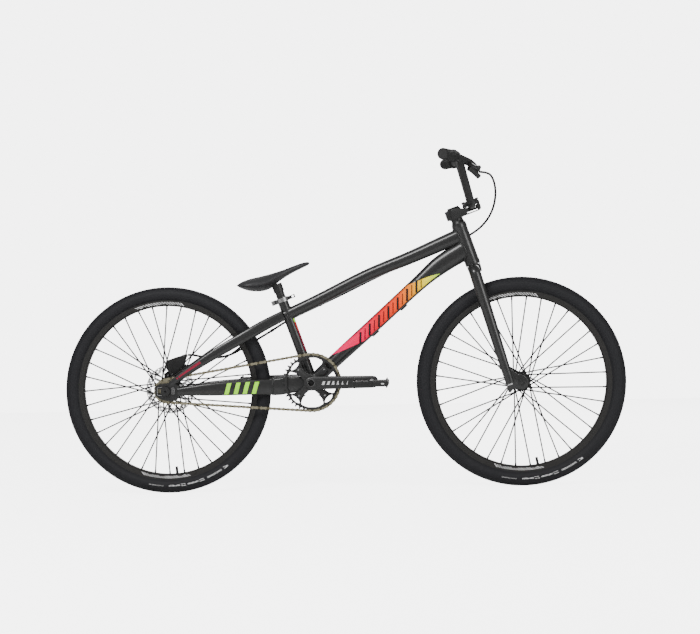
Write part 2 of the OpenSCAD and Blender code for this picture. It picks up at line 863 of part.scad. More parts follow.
module front_hub() {
    color(part_black) difference() {
        union() {
            across(front_axle_p, -front_hub_half, front_hub_half, 14);
            across(front_axle_p, -31, 31, 17);
            for (y = [-31, 31]) across(front_axle_p, y - flange_t / 2, y + flange_t / 2, 26);
        }
        across(front_axle_p, -60, 60, front_axle_r + fit);
        flange_holes(front_axle_p, front_valve_a, front_flanges);
    }
}

module front_spokes() spokes(front_axle_p, front_valve_a, front_flanges);
module front_rim() rim(front_axle_p, front_valve_a, front_flanges);
module front_tyre() tyre(front_axle_p, front_tyre_r);
module front_inner_tube() inner_tube(front_axle_p, front_tyre_r, front_valve_a);

rear_axle_r = 6;
rotor_y = 42;
rotor_t = 1.8;
rotor_pcd = 44;

module rear_hub() {
    color(part_black) difference() {
        union() {
            across(rear_axle_p, -36, 54.6, 11);
            across(rear_axle_p, -34, rotor_y - 4, 17);
            for (y = [-28, 28]) across(rear_axle_p, y - flange_t / 2, y + flange_t / 2, 28.5);
            across(rear_axle_p, rotor_y - 4, rotor_y, 27);
            across(rear_axle_p, rotor_y, rotor_y + rotor_t, 16.9);
        }
        across(rear_axle_p, -60, 60, rear_axle_r + fit);
        flange_holes(rear_axle_p, rear_valve_a, rear_flanges);
        for (a = [30 : 60 : 330]) rotor_hole(a, rotor_y - 4 - over, rotor_y + over);
    }
}

module rotor_hole(a, y0, y1) {
    across(rear_axle_p + rotor_pcd / 2 * [cos(a), 0, sin(a)], y0, y1, 2.5);
}

module rear_spokes() spokes(rear_axle_p, rear_valve_a, rear_flanges);
module rear_rim() rim(rear_axle_p, rear_valve_a, rear_flanges);
module rear_tyre() tyre(rear_axle_p, rear_tyre_r);
module rear_inner_tube() inner_tube(rear_axle_p, rear_tyre_r, rear_valve_a);

module disc_rotor() {
    color(silver) side_plate(rear_axle_p, rotor_y, rotor_y + rotor_t) difference() {
        union() {
            difference() {
                circle(rotor_r);
                circle(rotor_r - 15);
                for (a = [0 : 15 : 345]) rotate(a) {
                    translate([rotor_r - 4, 0]) circle(1.9);
                    rotate(5) translate([rotor_r - 8, 0]) circle(2.2);
                    rotate(10) translate([rotor_r - 12, 0]) circle(1.6);
                }
            }
            difference() {
                circle(27);
                circle(17);
            }
            for (a = [0 : 60 : 300]) rotate(a) polygon([[20, 8], [26, 3], [52, 20], [50, 27]]);
        }
        for (a = [30 : 60 : 330]) rotate(a) translate([rotor_pcd / 2, 0]) circle(2.5);
    }
}

module rotor_bolts() {
    color(silver) for (a = [30 : 60 : 330]) {
        rotor_hole(a, rotor_y - 3, rotor_y + rotor_t);
        across(
            rear_axle_p + rotor_pcd / 2 * [cos(a), 0, sin(a)],
            rotor_y + rotor_t, rotor_y + rotor_t + 2.4, 4.2
        );
    }
}

// Axle with its outer heads and the spacers between the hub parts and the dropouts
module rear_axle() {
    color(part_black) difference() {
        union() {
            across(rear_axle_p, -66, 66, rear_axle_r);
            both_sides() {
                across(rear_axle_p, -71, -64.2, 13, 14);
                across(rear_axle_p, -dropout_in, -55, 9);
            }
            across(rear_axle_p, -dropout_in, -52.6, 9);
        }
        both_sides() translate(rear_axle_p) rotate([90, 0, 0]) translate([0, 0, 65])
            cylinder(h = 20, r = 3.4, $fn = 6);
    }
}

/* Rear brake */

caliper_a = 71;
slot_in = 38.2;
slot_out = 47.7;
piston_r = 9;

module caliper_piston_bores() {
    p = rear_axle_p + 60 * [cos(caliper_a), 0, sin(caliper_a)];
    across(p, slot_in - 4.5, slot_out + 4.5, piston_r + fit);
}

module brake_caliper() {
    color(part_black) difference() {
        union() {
            side_plate(rear_axle_p, 33, 54)
                polygon([
                    [-4, 50], [14, 44], [32, 56], [44, 78], [50, 92], [38, 97], [18, 92], [-6, 84], [-10, 66]
                ]);
            for (h = caliper_holes) across(rear_axle_p + [h.x, 0, h.y], 50, dropout_out, 6);
            rod(rear_axle_p + [36, 50, 93], rear_axle_p + [50, 54, 97], 4.5);
        }
        across(rear_axle_p, slot_in, slot_out, rotor_r + 3);
        caliper_piston_bores();
        for (h = caliper_holes) across(rear_axle_p + [h.x, 0, h.y], 45, 70, 2.6);
    }
}

module caliper_bolts() {
    color(silver) for (h = caliper_holes) let (p = rear_axle_p + [h.x, 0, h.y]) {
        across(p, 52, dropout_out + 4, 2.6);
        across(p, dropout_out + 4, dropout_out + 8, 4.6);
    }
}

// Brake pad on its piston; the face lies just clear of the rotor
module brake_pad(face, back, piston_end) {
    color(part_black) {
        side_plate(rear_axle_p, min(face, back), max(face, back)) intersection() {
            difference() {
                circle(rotor_r - 1.5);
                circle(rotor_r - 17);
            }
            rotate(caliper_a) polygon([[0, 0], [90, -24], [90, 24]]);
        }
        across(rear_axle_p + 60 * [cos(caliper_a), 0, sin(caliper_a)], back, piston_end, piston_r);
    }
}

pad_gap = 0.35;
pad_t = 3;

module outer_brake_pad() {
    face = rotor_y + rotor_t + pad_gap;
    brake_pad(face, face + pad_t, slot_out + 3);
}

module inner_brake_pad() {
    face = rotor_y - pad_gap;
    brake_pad(face, face - pad_t, slot_in - 3);
}

// Middle line of the brake hose from the lever to the caliper
hose_route = [
    at(905, -160, 892), at(913, -155, 891), at(926, -134, 889), at(938, -105, 882),
    at(947, -75, 862), at(950, -45, 832), at(944, -15, 798), at(930, 14, 768),
    at(908, 32, 742), at(880, 38, 722), at(850, 35, 708), at(820, 28, 697), at(785, 22.8, 683),
    at(740, 22.2, 663), at(690, 21.8, 643), at(635, 21.2, 618), at(578, 20.8, 592),
    at(510, 20.4, 560), at(443, 20.2, 530), at(395, 21, 509), at(362, 24, 494), at(335, 29, 480),
    at(300, 38, 459), at(258, 48, 435), at(215, 58, 411), at(180, 65, 393), at(145, 69, 384),
    at(110, 69, 384), at(86, 66, 388), at(68, 60, 392), at(52, 55, 393.5)
];

module brake_hose() {
    color(rubber_black) pipe(smooth(hose_route, 2), 2.5, 8, [0, 1, 0]);
}

// Clips that hold the hose to the underside of the left seatstay and the side of the top tube
module hose_clips() {
    color(part_black) for (i = [12, 15, 18, 22, 24]) let (
        a = hose_route[i], b = hose_route[i + 1], d = (b - a) / norm(b - a)
    ) difference() {
        rod(a - 4 * d, a + 4 * d, 4.2);
        rod(a - 5 * d, a + 5 * d, 2.9);
    }
}

/* Drive */

chain_pitch = 12.7;
ring_pitch_r = chain_pitch / 2 / sin(180 / ring_teeth);
cog_pitch_r = chain_pitch / 2 / sin(180 / cog_teeth);
axis_gap = bb_p - rear_axle_p;
centre_a = atan2(axis_gap.z, axis_gap.x);
centre_d = norm(axis_gap);
wrap_a = asin((ring_pitch_r - cog_pitch_r) / centre_d);
top_a = centre_a + 90 + wrap_a;
low_a = centre_a - 90 - wrap_a;
ring_links = (180 + 2 * wrap_a) * ring_teeth / 360;
cog_links = (180 - 2 * wrap_a) * cog_teeth / 360;
run_mm = centre_d * cos(wrap_a);
link_count = 2 * round((ring_links + cog_links + 2 * run_mm / chain_pitch) / 2);
run_links = (link_count - ring_links - cog_links) / 2;
ring_phase = low_a;
cog_start = ring_links + run_links;
cog_phase = top_a + (ceil(cog_start) - cog_start) * 360 / cog_teeth;

function on_circle(c, r, a) = c + r * [cos(a), 0, sin(a)];

// Place of the chain's pin number u, counted forward round the chainring from its lower tangent
function chain_pin(u) =
    u <= ring_links ? on_circle(bb_p, ring_pitch_r, low_a + u * 360 / ring_teeth)
    : u <= cog_start ? let (t = (u - ring_links) / run_links)
        (1 - t) * on_circle(bb_p, ring_pitch_r, top_a) + t * on_circle(rear_axle_p, cog_pitch_r, top_a)
    : u <= cog_start + cog_links ? on_circle(rear_axle_p, cog_pitch_r, top_a + (u - cog_start) * 360 / cog_teeth)
    : let (t = (u - cog_start - cog_links) / run_links)
        (1 - t) * on_circle(rear_axle_p, cog_pitch_r, low_a) + t * on_circle(bb_p, ring_pitch_r, low_a);

roller_r = 3.9;
plate_r = 4.1;
inner_half = 1.7;
plate_t = 0.9;

// Waisted link plate between two pins
module link_plate(a, b, y0, y1) {
    d = b - a;
    side_plate([a.x, 0, a.z], y0, y1) union() {
        circle(plate_r, $fn = 24);
        translate([d.x, d.z]) circle(plate_r, $fn = 24);
        rotate(atan2(d.z, d.x)) translate([0, -2.9]) square([norm(d), 5.8]);
    }
}

module chain() {
    color(chain_grey) for (i = [0 : 2 : link_count - 1]) let (
        a = chain_pin(i), b = chain_pin(i + 1), c = chain_pin((i + 2) % link_count),
        in = -chain_line + inner_half, out = -chain_line - inner_half
    ) {
        union() {
            for (p = [a, b]) across(p, out, in, roller_r);
            link_plate(a, b, in, in + plate_t);
            link_plate(a, b, out - plate_t, out);
        }
        link_plate(b, c, in + plate_t + 0.1, in + 2 * plate_t + 0.1);
        link_plate(b, c, out - 2 * plate_t - 0.1, out - plate_t - 0.1);
    }
}

// Toothed outline of a sprocket
module sprocket(teeth, pitch_r, tip_r, phase) {
    step = 360 / teeth;
    difference() {
        circle(tip_r, $fn = 96);
        for (i = [0 : teeth - 1]) rotate(phase + i * step) translate([pitch_r, 0]) {
            circle(roller_r + 0.15, $fn = 24);
            polygon([[0, -roller_r - 0.1], [6, -6.6], [6, 6.6], [0, roller_r + 0.1]]);
        }
    }
}

module rear_cog() {
    color(chain_grey) {
        difference() {
            union() {
                side_plate(rear_axle_p, -chain_line - 1.2, -chain_line + 1.2)
                    sprocket(cog_teeth, cog_pitch_r, cog_pitch_r + 2.6, cog_phase);
                across(rear_axle_p, -52, -36.6, 17);
                across(rear_axle_p, -47.5, -40.5, 24);
            }
            across(rear_axle_p, -60, -30, rear_axle_r + fit);
        }
    }
}

ring_t = 2.6;
ring_bolt_r = 52;
arm_a = [45, 135, 225, 315];
window_in = 38;
window_out = 71.5;

// Outline of a polygon whose corners are rounded off from a distance d
function rounded(p, d) = let (m = len(p)) [
    for (i = [0 : m - 1], q = bend(p[(i + m - 1) % m], p[i], p[(i + 1) % m], d, 4)) q
];

function polar(r, a) = [r * cos(a), r * sin(a)];

// Window between two arms, with round corners
window_outline = rounded([
    polar(window_in, -24), polar(50, -32), polar(window_out - 2, -28), polar(window_out, -11),
    polar(window_out, 11), polar(window_out - 2, 28), polar(50, 32), polar(window_in, 24)
], 6);

// Lengthwise slot outside a chainring bolt
slot_r = 66.5;
slot_outline = rounded([
    [slot_r + 5.2, -7], [slot_r, -16.5], [slot_r - 5.2, -7],
    [slot_r - 5.2, 7], [slot_r, 16.5], [slot_r + 5.2, 7]
], 3.5);

module chainring() {
    color(part_black) side_plate(bb_p, -chain_line - ring_t / 2, -chain_line + ring_t / 2) difference() {
        sprocket(ring_teeth, ring_pitch_r, ring_pitch_r + 2.8, ring_phase);
        circle(window_in + 2);
        for (a = [0 : 90 : 270]) rotate(a) polygon(window_outline);
        for (a = arm_a) rotate(a) {
            translate([ring_bolt_r, 0]) circle(4);
            polygon(slot_outline);
        }
    }
}

module chainring_bolts() {
    color(part_black) for (a = arm_a) {
        p = on_circle(bb_p, ring_bolt_r, a);
        difference() {
            union() {
                across(p, -chain_line - ring_t / 2, -chain_line + ring_t / 2 + 1.5, 4);
                across(p, -chain_line + ring_t / 2, -chain_line + ring_t / 2 + 1.5, 5.6);
                across(p, -spider_out - 1, -chain_line - ring_t / 2, 4);
            }
            across(p, -spider_out - over - 1, -30, 2.2);
        }
    }
}

module crank_spindle() {
    color(silver) difference() {
        across(bb_p, -68, 68, spindle_r);
        across(bb_p, -70, 70, spindle_r - 2.6);
    }
}

spider_in = 45.6;
spider_out = 50;
arm_in = 59;
arm_out = 73;
pedal_face = 80;

// Crank arm from the bottom bracket to a pedal hole, on the right side
module crank_arm() {
    difference() {
        union() {
            hull() {
                across(bb_p, -arm_out + 3, -arm_in + 4, 19.5, $fn = 32);
                across(bb_p + [60, 0, 0], -arm_out, -arm_in, 18.8, $fn = 32);
            }
            hull() {
                across(bb_p + [60, 0, 0], -arm_out, -arm_in, 18.8, $fn = 32);
                across(pedal_p, -pedal_face, -arm_in - 7, 17.8, $fn = 32);
            }
            across(bb_p, -arm_in - 2, -46.5, 19.5);
        }
        across(bb_p, -90, -30, spindle_r);
        across(pedal_p, -90, -50, 7);
    }
}

// Right crank arm forged in one piece with the four-armed spider
module right_crank() {
    color(part_black) {
        crank_arm();
        side_plate(bb_p, -spider_out - 2, -spider_in) difference() {
            union() {
                circle(25);
                for (a = arm_a) rotate(a) polygon([[14, -13], [44, -7.5], [54, -8.5], [58.5, -4], [58.5, 4],
                                                   [54, 8.5], [44, 7.5], [14, 13]]);
            }
            circle(21.5);
            for (a = arm_a) rotate(a) translate([ring_bolt_r, 0]) circle(4);
        }
    }
}

module left_crank() {
    color(part_black) translate(bb_p) rotate([0, 0, 180]) translate(-bb_p) crank_arm();
}

left_pedal_p = bb_p - [crank_len, 0, 0];

module pedal_axles() {
    color(silver) for (q = [[pedal_p, -1], [left_pedal_p, 1]]) {
        across(q[0], q[1] * 68, q[1] * 83, 7);
        across(q[0], q[1] * 83, q[1] * 85, 9);
        across(q[0], q[1] * 85, q[1] * (84 + pedal_w - 12), 4.5);
    }
}

pedal_in = 85.5;
pedal_t = 17;

// Flat pedal with open windows and grip pins, centred on its axle on the right side
module pedal(p, side) {
    color(part_black) translate(p) mirror([0, side > 0 ? 1 : 0, 0]) {
        difference() {
            union() {
                translate([0, -pedal_in, 0]) rotate([90, 0, 0]) cylinder(h = pedal_w, r = 9.5);
                for (s = [-1, 1]) translate([s * (pedal_l / 2 - 5) - 5, -pedal_in - pedal_w, -pedal_t / 2])
                    cube([10, pedal_w, pedal_t]);
                for (y = [pedal_in + 2, pedal_in + pedal_w / 2 - 4, pedal_in + pedal_w - 9])
                    translate([-pedal_l / 2 + 5, -y - 8, -pedal_t / 2 + 2])
                        cube([pedal_l - 10, 8, pedal_t - 4]);
                for (s = [-1, 1]) translate([s * 26 - 3, -pedal_in - pedal_w + 4, -pedal_t / 2 + 3])
                    cube([6, pedal_w - 8, pedal_t - 6]);
            }
            translate([0, -pedal_in + over, 0]) rotate([90, 0, 0])
                cylinder(h = pedal_w - 10, r = 4.5 + fit);
        }
        for (x = [-1, 1], y = [0 : 4], z = [-1, 1])
            translate([x * (pedal_l / 2 - 5), -pedal_in - 10 - y * (pedal_w - 20) / 4, z * pedal_t / 2])
                mirror([0, 0, z < 0 ? 1 : 0]) cylinder(h = 4.5, r = 1.8);
    }
}

module right_pedal() pedal(pedal_p, -1);
module left_pedal() pedal(left_pedal_p, 1);

head_tube();
top_tube();
down_tube();
seat_tube();
bb_shell();
chainstay_yoke();
chainstays();
seatstays();
right_dropout();
left_dropout();
chain_tensioners();
headset_bearings();
bb_cups();
seat_collar();
hose_clips();
brake_caliper();
caliper_bolts();
rear_axle();
chain();
brake_hose();
collar_lever();
outer_brake_pad();
inner_brake_pad();
seatpost();
saddle();
fork_crown();
fork_legs();
fork_dropouts();
front_axle();
stem_body();
stem_cap();
stem_bolts();
headset_spacers();
handlebar();
crossbar();
grips();
bar_plugs();
lever_perch();
brake_lever();
front_hub();
front_spokes();
front_rim();
front_tyre();
front_inner_tube();
rear_hub();
rear_spokes();
rear_rim();
rear_tyre();
rear_inner_tube();
disc_rotor();
rotor_bolts();
rear_cog();
crank_spindle();
right_crank();
left_crank();
chainring();
chainring_bolts();
pedal_axles();
right_pedal();
left_pedal();
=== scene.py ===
"""Looks of the BMX race bike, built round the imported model. Lengths are in millimetres until placed."""
import json
import math
import random

import bmesh
import bpy
from mathutils import Matrix, Vector


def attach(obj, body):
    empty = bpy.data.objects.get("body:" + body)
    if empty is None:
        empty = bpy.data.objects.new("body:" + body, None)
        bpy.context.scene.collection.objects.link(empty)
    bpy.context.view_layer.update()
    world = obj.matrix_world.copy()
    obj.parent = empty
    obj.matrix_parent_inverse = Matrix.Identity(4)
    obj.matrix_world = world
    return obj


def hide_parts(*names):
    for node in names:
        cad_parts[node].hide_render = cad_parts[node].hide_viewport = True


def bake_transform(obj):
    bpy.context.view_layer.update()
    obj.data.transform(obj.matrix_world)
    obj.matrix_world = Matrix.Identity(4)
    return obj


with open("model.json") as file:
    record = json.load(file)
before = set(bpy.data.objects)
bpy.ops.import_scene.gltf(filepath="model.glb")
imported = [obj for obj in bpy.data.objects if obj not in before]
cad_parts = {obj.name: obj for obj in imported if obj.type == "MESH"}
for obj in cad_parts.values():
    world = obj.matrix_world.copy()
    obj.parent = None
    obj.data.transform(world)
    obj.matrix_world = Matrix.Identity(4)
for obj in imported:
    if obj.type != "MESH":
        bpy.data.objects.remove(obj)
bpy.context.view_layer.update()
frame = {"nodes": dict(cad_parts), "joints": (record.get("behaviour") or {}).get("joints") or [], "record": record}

MM = 0.001
SIDES = [(-1, "right"), (1, "left")]
JOINTS = {j["name"]: j for j in frame["joints"]}


# ---------------------------------------------------------------- places

def joint_place(name):
    return Vector(JOINTS[name]["pos_m"])


def joint_axis(name):
    return Vector(JOINTS[name]["axis"]).normalized()


REAR_AXLE = joint_place("rear_wheel_spin")
FRONT_AXLE = joint_place("front_wheel_spin")
BOTTOM_BRACKET = joint_place("crank_spin")
STEER_FOOT = joint_place("steering")
STEER_UP = joint_axis("steering")
STEER_AHEAD = Vector((STEER_UP.z, 0, -STEER_UP.x))
SEAT_UP = joint_axis("seat_height")
SEAT_AHEAD = Vector((SEAT_UP.z, 0, -SEAT_UP.x))
LEVER_PIVOT = joint_place("brake_squeeze")


def at(x, y, z):
    """A place from its distance ahead of the rear axle, its side offset and its height."""
    return Vector((REAR_AXLE.x + x * MM, y * MM, z * MM))


def steer_at(n, y, s):
    """A place ahead of the steering axis, to the left and up along the axis."""
    return STEER_FOOT + (n * STEER_AHEAD + s * STEER_UP + y * Vector((0, 1, 0))) * MM


def seat_at(n, y, s):
    """A place ahead of the seat tube's axis, to the left and up along it."""
    return BOTTOM_BRACKET + (n * SEAT_AHEAD + s * SEAT_UP + y * Vector((0, 1, 0))) * MM


def flip(p):
    return Vector((p.x, -p.y, p.z))


# ---------------------------------------------------------------- materials

def principled(name, colour, roughness, metallic=0.0, coat=0.0, specular=0.5):
    """A new material with its Principled shader, and the shader itself."""
    made = bpy.data.materials.new(name)
    made.use_nodes = True
    shader = made.node_tree.nodes["Principled BSDF"]
    shader.inputs["Base Color"].default_value = (*colour, 1)
    shader.inputs["Roughness"].default_value = roughness
    shader.inputs["Metallic"].default_value = metallic
    shader.inputs["Coat Weight"].default_value = coat
    shader.inputs["Coat Roughness"].default_value = 0.06
    shader.inputs["Specular IOR Level"].default_value = specular
    made.diffuse_color = (*colour, 1)
    return made, shader


def place_noise(made, scale, detail=3.0):
    """A noise texture over the object's own coordinates."""
    tree = made.node_tree
    coords = tree.nodes.new("ShaderNodeTexCoord")
    noise = tree.nodes.new("ShaderNodeTexNoise")
    noise.inputs["Scale"].default_value = scale
    noise.inputs["Detail"].default_value = detail
    tree.links.new(coords.outputs["Object"], noise.inputs["Vector"])
    return noise


def vary_roughness(made, shader, scale, low, high):
    tree = made.node_tree
    noise = place_noise(made, scale)
    spread = tree.nodes.new("ShaderNodeMapRange")
    spread.inputs["To Min"].default_value = low
    spread.inputs["To Max"].default_value = high
    tree.links.new(noise.outputs["Fac"], spread.inputs["Value"])
    tree.links.new(spread.outputs["Result"], shader.inputs["Roughness"])


def add_grain(made, shader, scale, strength, distance):
    tree = made.node_tree
    noise = place_noise(made, scale, 2.0)
    bump = tree.nodes.new("ShaderNodeBump")
    bump.inputs["Strength"].default_value = strength
    bump.inputs["Distance"].default_value = distance
    tree.links.new(noise.outputs["Fac"], bump.inputs["Height"])
    tree.links.new(bump.outputs["Normal"], shader.inputs["Normal"])


def finish_of(name, colour, roughness, metallic=0.0, coat=0.0, specular=0.5, spread=0.05, grain=0.0):
    """A plain finish whose gloss varies slightly, with an optional fine grain."""
    made, shader = principled(name, colour, roughness, metallic, coat, specular)
    vary_roughness(made, shader, 60, max(roughness - spread, 0.02), roughness + spread)
    if grain:
        add_grain(made, shader, 1800, grain, 0.0004)
    return made


def grey(v):
    return (v, v, v)


# The printed colours are given a slight painted glow (emission on surfaces that are no lamp), which keeps them
# vivid in the render.
PRINT_PAINTED_GLOW = 0.35
FADE_START = 483
FADE_END = 790
FADE_TIP = 776
FADE = [
    (0.0, (1.0, 0.0, 0.12, 1)), (0.25, (1.0, 0.0, 0.08, 1)), (0.42, (0.9, 0.01, 0.02, 1)),
    (0.6, (1.0, 0.08, 0.01, 1)), (0.73, (1.0, 0.32, 0.01, 1)), (0.86, (1.0, 0.85, 0.02, 1)),
    (1.0, (0.5, 1.0, 0.1, 1))
]


def decal_fade():
    """The printed fade along the down tube: pink, red, orange, yellow and lime."""
    made, shader = principled("decal_fade", (1.0, 0.3, 0.1), 0.5, specular=0.1)
    tree = made.node_tree
    coords = tree.nodes.new("ShaderNodeTexCoord")
    split = tree.nodes.new("ShaderNodeSeparateXYZ")
    place = tree.nodes.new("ShaderNodeMapRange")
    ramp = tree.nodes.new("ShaderNodeValToRGB")
    place.inputs["From Min"].default_value = at(FADE_START, 0, 0).x
    place.inputs["From Max"].default_value = at(FADE_END, 0, 0).x
    stops = ramp.color_ramp.elements
    stops[0].position = 0.0
    stops[0].color = FADE[0][1]
    stops[1].position = 1.0
    stops[1].color = FADE[-1][1]
    for where, colour in FADE[1:-1]:
        stops.new(where).color = colour
    tree.links.new(coords.outputs["Object"], split.inputs["Vector"])
    tree.links.new(split.outputs["X"], place.inputs["Value"])
    tree.links.new(place.outputs["Result"], ramp.inputs["Fac"])
    tree.links.new(ramp.outputs["Color"], shader.inputs["Base Color"])
    # painted glow: the fade also emits its own colour, so the print shines though it is no lamp
    tree.links.new(ramp.outputs["Color"], shader.inputs["Emission Color"])
    shader.inputs["Emission Strength"].default_value = PRINT_PAINTED_GLOW
    return made


GLOSS_BLACK = finish_of("gloss_black", grey(0.014), 0.34, coat=0.35, spread=0.03)
SATIN_BLACK = finish_of("satin_black", grey(0.014), 0.42, spread=0.04)
FORGED_BLACK = finish_of("forged_black", grey(0.015), 0.45, coat=0.1)
RIM_BLACK = finish_of("rim_black", (0.014, 0.013, 0.012), 0.4)
BOLT_BLACK = finish_of("bolt_black", grey(0.02), 0.3, metallic=0.6)
SILVER = finish_of("silver_alloy", grey(0.4), 0.3, metallic=1.0)
STEEL = finish_of("bright_steel", (0.55, 0.55, 0.56), 0.22, metallic=1.0)
ROTOR_STEEL = finish_of("rotor_steel", grey(0.9), 0.45, metallic=0.1)
CHAIN_STEEL = finish_of("chain_steel", (0.36, 0.33, 0.23), 0.36, metallic=0.85)
SPOKE_BLACK = finish_of("spoke_black", grey(0.02), 0.5, specular=0.3)
TYRE_RUBBER = finish_of("tyre_rubber", (0.014, 0.014, 0.0165), 0.66, specular=0.3, grain=0.25)
TUBE_RUBBER = finish_of("tube_rubber", grey(0.012), 0.5)
GRIP_RUBBER = finish_of("grip_rubber", grey(0.014), 0.6, specular=0.3, grain=0.2)
SEAT_PLASTIC = finish_of("seat_plastic", (0.03, 0.03, 0.032), 0.5, specular=0.4, grain=0.3)
PEDAL_PLASTIC = finish_of("pedal_plastic", grey(0.011), 0.42, grain=0.15)
HOSE_JACKET = finish_of("hose_jacket", grey(0.012), 0.35)
PAD_STUFF = finish_of("pad_compound", (0.1, 0.07, 0.05), 0.8)
PRINT_WHITE = finish_of("print_white", grey(0.75), 0.4)
PRINT_GREY = finish_of("print_grey", grey(0.42), 0.4)
PRINT_CRIMSON = finish_of("print_crimson", (0.30, 0.001, 0.03), 0.5)
PRINT_DARK = finish_of("print_dark", (0.006, 0.002, 0.002), 0.5)
CHAIN_DARK = finish_of("chain_dark", (0.13, 0.115, 0.07), 0.45, metallic=0.8)
PRINT_RED = finish_of("print_red", (0.75, 0.02, 0.02), 0.5)
PRINT_LIME, lime_shader = principled("print_lime", (0.38, 0.95, 0.03), 0.5, specular=0.1)
# painted glow: the lime print also emits its own colour, so it shines though it is no lamp
lime_shader.inputs["Emission Color"].default_value = (0.38, 0.95, 0.03, 1)
lime_shader.inputs["Emission Strength"].default_value = PRINT_PAINTED_GLOW
DECAL_FADE = decal_fade()

CAD_FINISHES = {
    "frame_paint": GLOSS_BLACK, "black_alloy": SATIN_BLACK, "black_steel": BOLT_BLACK,
    "lever_alloy": SATIN_BLACK, "crank_alloy": FORGED_BLACK, "silver_alloy": SILVER,
    "bolt_steel": STEEL, "rotor_steel": ROTOR_STEEL, "chain_steel": CHAIN_STEEL,
    "spoke_black": SPOKE_BLACK, "rim_black": RIM_BLACK, "tyre_rubber": TYRE_RUBBER,
    "tube_rubber": TUBE_RUBBER, "grip_rubber": GRIP_RUBBER, "seat_plastic": SEAT_PLASTIC,
    "pedal_plastic": PEDAL_PLASTIC, "hose_plastic": HOSE_JACKET, "pad_compound": PAD_STUFF
}


def paint_cad():
    """Gives every CAD node the finish of its material slot."""
    for part in frame["record"]["subparts"]:
        mesh = frame["nodes"][part["node"]].data
        mesh.materials.clear()
        mesh.materials.append(CAD_FINISHES[part["material_slot"]])


# ---------------------------------------------------------------- mesh building

def piece(name, verts, faces, body, material, slot, stands_for=(), crease=35):
    """A mesh object that rides a body, if one is named; edges sharper than `crease` degrees stay hard."""
    mesh = bpy.data.meshes.new(name)
    mesh.from_pydata([v[:] for v in verts], [], faces)
    tidy = bmesh.new()
    tidy.from_mesh(mesh)
    bmesh.ops.recalc_face_normals(tidy, faces=tidy.faces)
    tidy.to_mesh(mesh)
    tidy.free()
    mesh.materials.append(material)
    made = bpy.data.objects.new(name, mesh)
    bpy.context.scene.collection.objects.link(made)
    shade(made, crease)
    if body:
        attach(made, body)
    if stands_for:
        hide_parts(*stands_for)
    return made


def shade(made, crease):
    made.data.shade_smooth()
    made.data.set_sharp_from_angle(angle=math.radians(crease))


def bevel(made, width, segments=2, crease=30):
    """Rounds the hard edges of a piece by `width` millimetres."""
    cut = made.modifiers.new("bevel", "BEVEL")
    cut.width = width * MM
    cut.segments = segments
    cut.limit_method = "ANGLE"
    cut.angle_limit = math.radians(crease)
    cut.use_clamp_overlap = True
    apply_modifiers(made)
    shade(made, 40)
    return made


def apply_modifiers(made):
    bpy.context.view_layer.update()
    seen = made.evaluated_get(bpy.context.evaluated_depsgraph_get())
    mesh = bpy.data.meshes.new_from_object(seen)
    made.modifiers.clear()
    made.data = mesh


def skin(rings, closed=False, caps=True):
    """Vertices and faces over a stack of rings, capped at its ends or joined end to end."""
    count = len(rings[0])
    verts = [v for ring in rings for v in ring]
    spans = len(rings) if closed else len(rings) - 1
    faces = []
    for r in range(spans):
        a = r * count
        b = (r + 1) % len(rings) * count
        for i in range(count):
            k = (i + 1) % count
            faces.append((a + i, b + i, b + k, a + k))
    if caps and not closed:
        faces.append(tuple(range(count)))
        faces.append(tuple(range(len(verts) - count, len(verts))))
    return verts, faces


def joined(parts):
    """One vertex and face list from several."""
    verts = []
    faces = []
    for some_verts, some_faces in parts:
        start = len(verts)
        verts += some_verts
        faces += [tuple(start + i for i in face) for face in some_faces]
    return verts, faces


def smooth_path(points, steps):
    """Catmull-Rom curve through points of any kind that can be added and scaled."""
    last = len(points) - 1
    out = []
    for i in range(last):
        a = points[max(i - 1, 0)]
        b = points[i]
        c = points[i + 1]
        d = points[min(i + 2, last)]
        for j in range(steps):
            t = j / steps
            out.append(0.5 * (2 * b + (c - a) * t + (2 * a - 5 * b + 4 * c - d) * t ** 2
                              + (3 * b - a - 3 * c + d) * t ** 3))
    return out + [points[last]]


def bend(a, b, c, d, steps=6):
    """Points that round the corner b between a and c, starting a distance d from it."""
    p = b + d * (a - b).normalized()
    q = b + d * (c - b).normalized()
    return [(1 - t) ** 2 * p + 2 * t * (1 - t) * b + t * t * q
            for t in [i / steps for i in range(steps + 1)]]


def pipe_rings(path, radius, sides=20, closed=False):
    """Rings round a path in metres; radius in millimetres is a number or a function of 0..1."""
    size = radius if callable(radius) else lambda t: radius
    last = len(path) - 1
    rings = []
    normal = None
    for i, p in enumerate(path):
        if closed:
            along = path[(i + 1) % len(path)] - path[i - 1]
        else:
            along = path[min(i + 1, last)] - path[max(i - 1, 0)]
        along = along.normalized()
        if normal is None:
            seed = Vector((0, 1, 0)) if abs(along.y) < 0.9 else Vector((0, 0, 1))
            normal = along.cross(seed).normalized()
        normal = (normal - normal.dot(along) * along).normalized()
        other = along.cross(normal)
        r = size(i / last) * MM
        rings.append([p + r * (math.cos(a) * normal + math.sin(a) * other) for a in turns(sides)])
    return rings


def turns(count):
    return [2 * math.pi * i / count for i in range(count)]


def pipe(path, radius, sides=20, closed=False, caps=True):
    return skin(pipe_rings(path, radius, sides, closed), closed, caps)


def axes_across(way):
    """Two directions square to a way and to each other."""
    along = way.normalized()
    seed = Vector((0, 1, 0)) if abs(along.y) < 0.9 else Vector((0, 0, 1))
    u = along.cross(seed).normalized()
    return u, along.cross(u)


def round_bar(a, b, radius, end_radius=None, chamfer=0.0, sides=32):
    """A round bar between two places, with chamfered ends."""
    length = (b - a).length / MM
    end_radius = radius if end_radius is None else end_radius
    cut = min(chamfer / length, 0.4)
    stops = [(0.0, radius - chamfer), (cut, radius), (1 - cut, end_radius), (1.0, end_radius - chamfer)]
    if not chamfer:
        stops = [(0.0, radius), (1.0, end_radius)]
    u, v = axes_across(b - a)
    rings = [[a + t * (b - a) + r * MM * (math.cos(w) * u + math.sin(w) * v) for w in turns(sides)]
             for t, r in stops]
    return skin(rings)


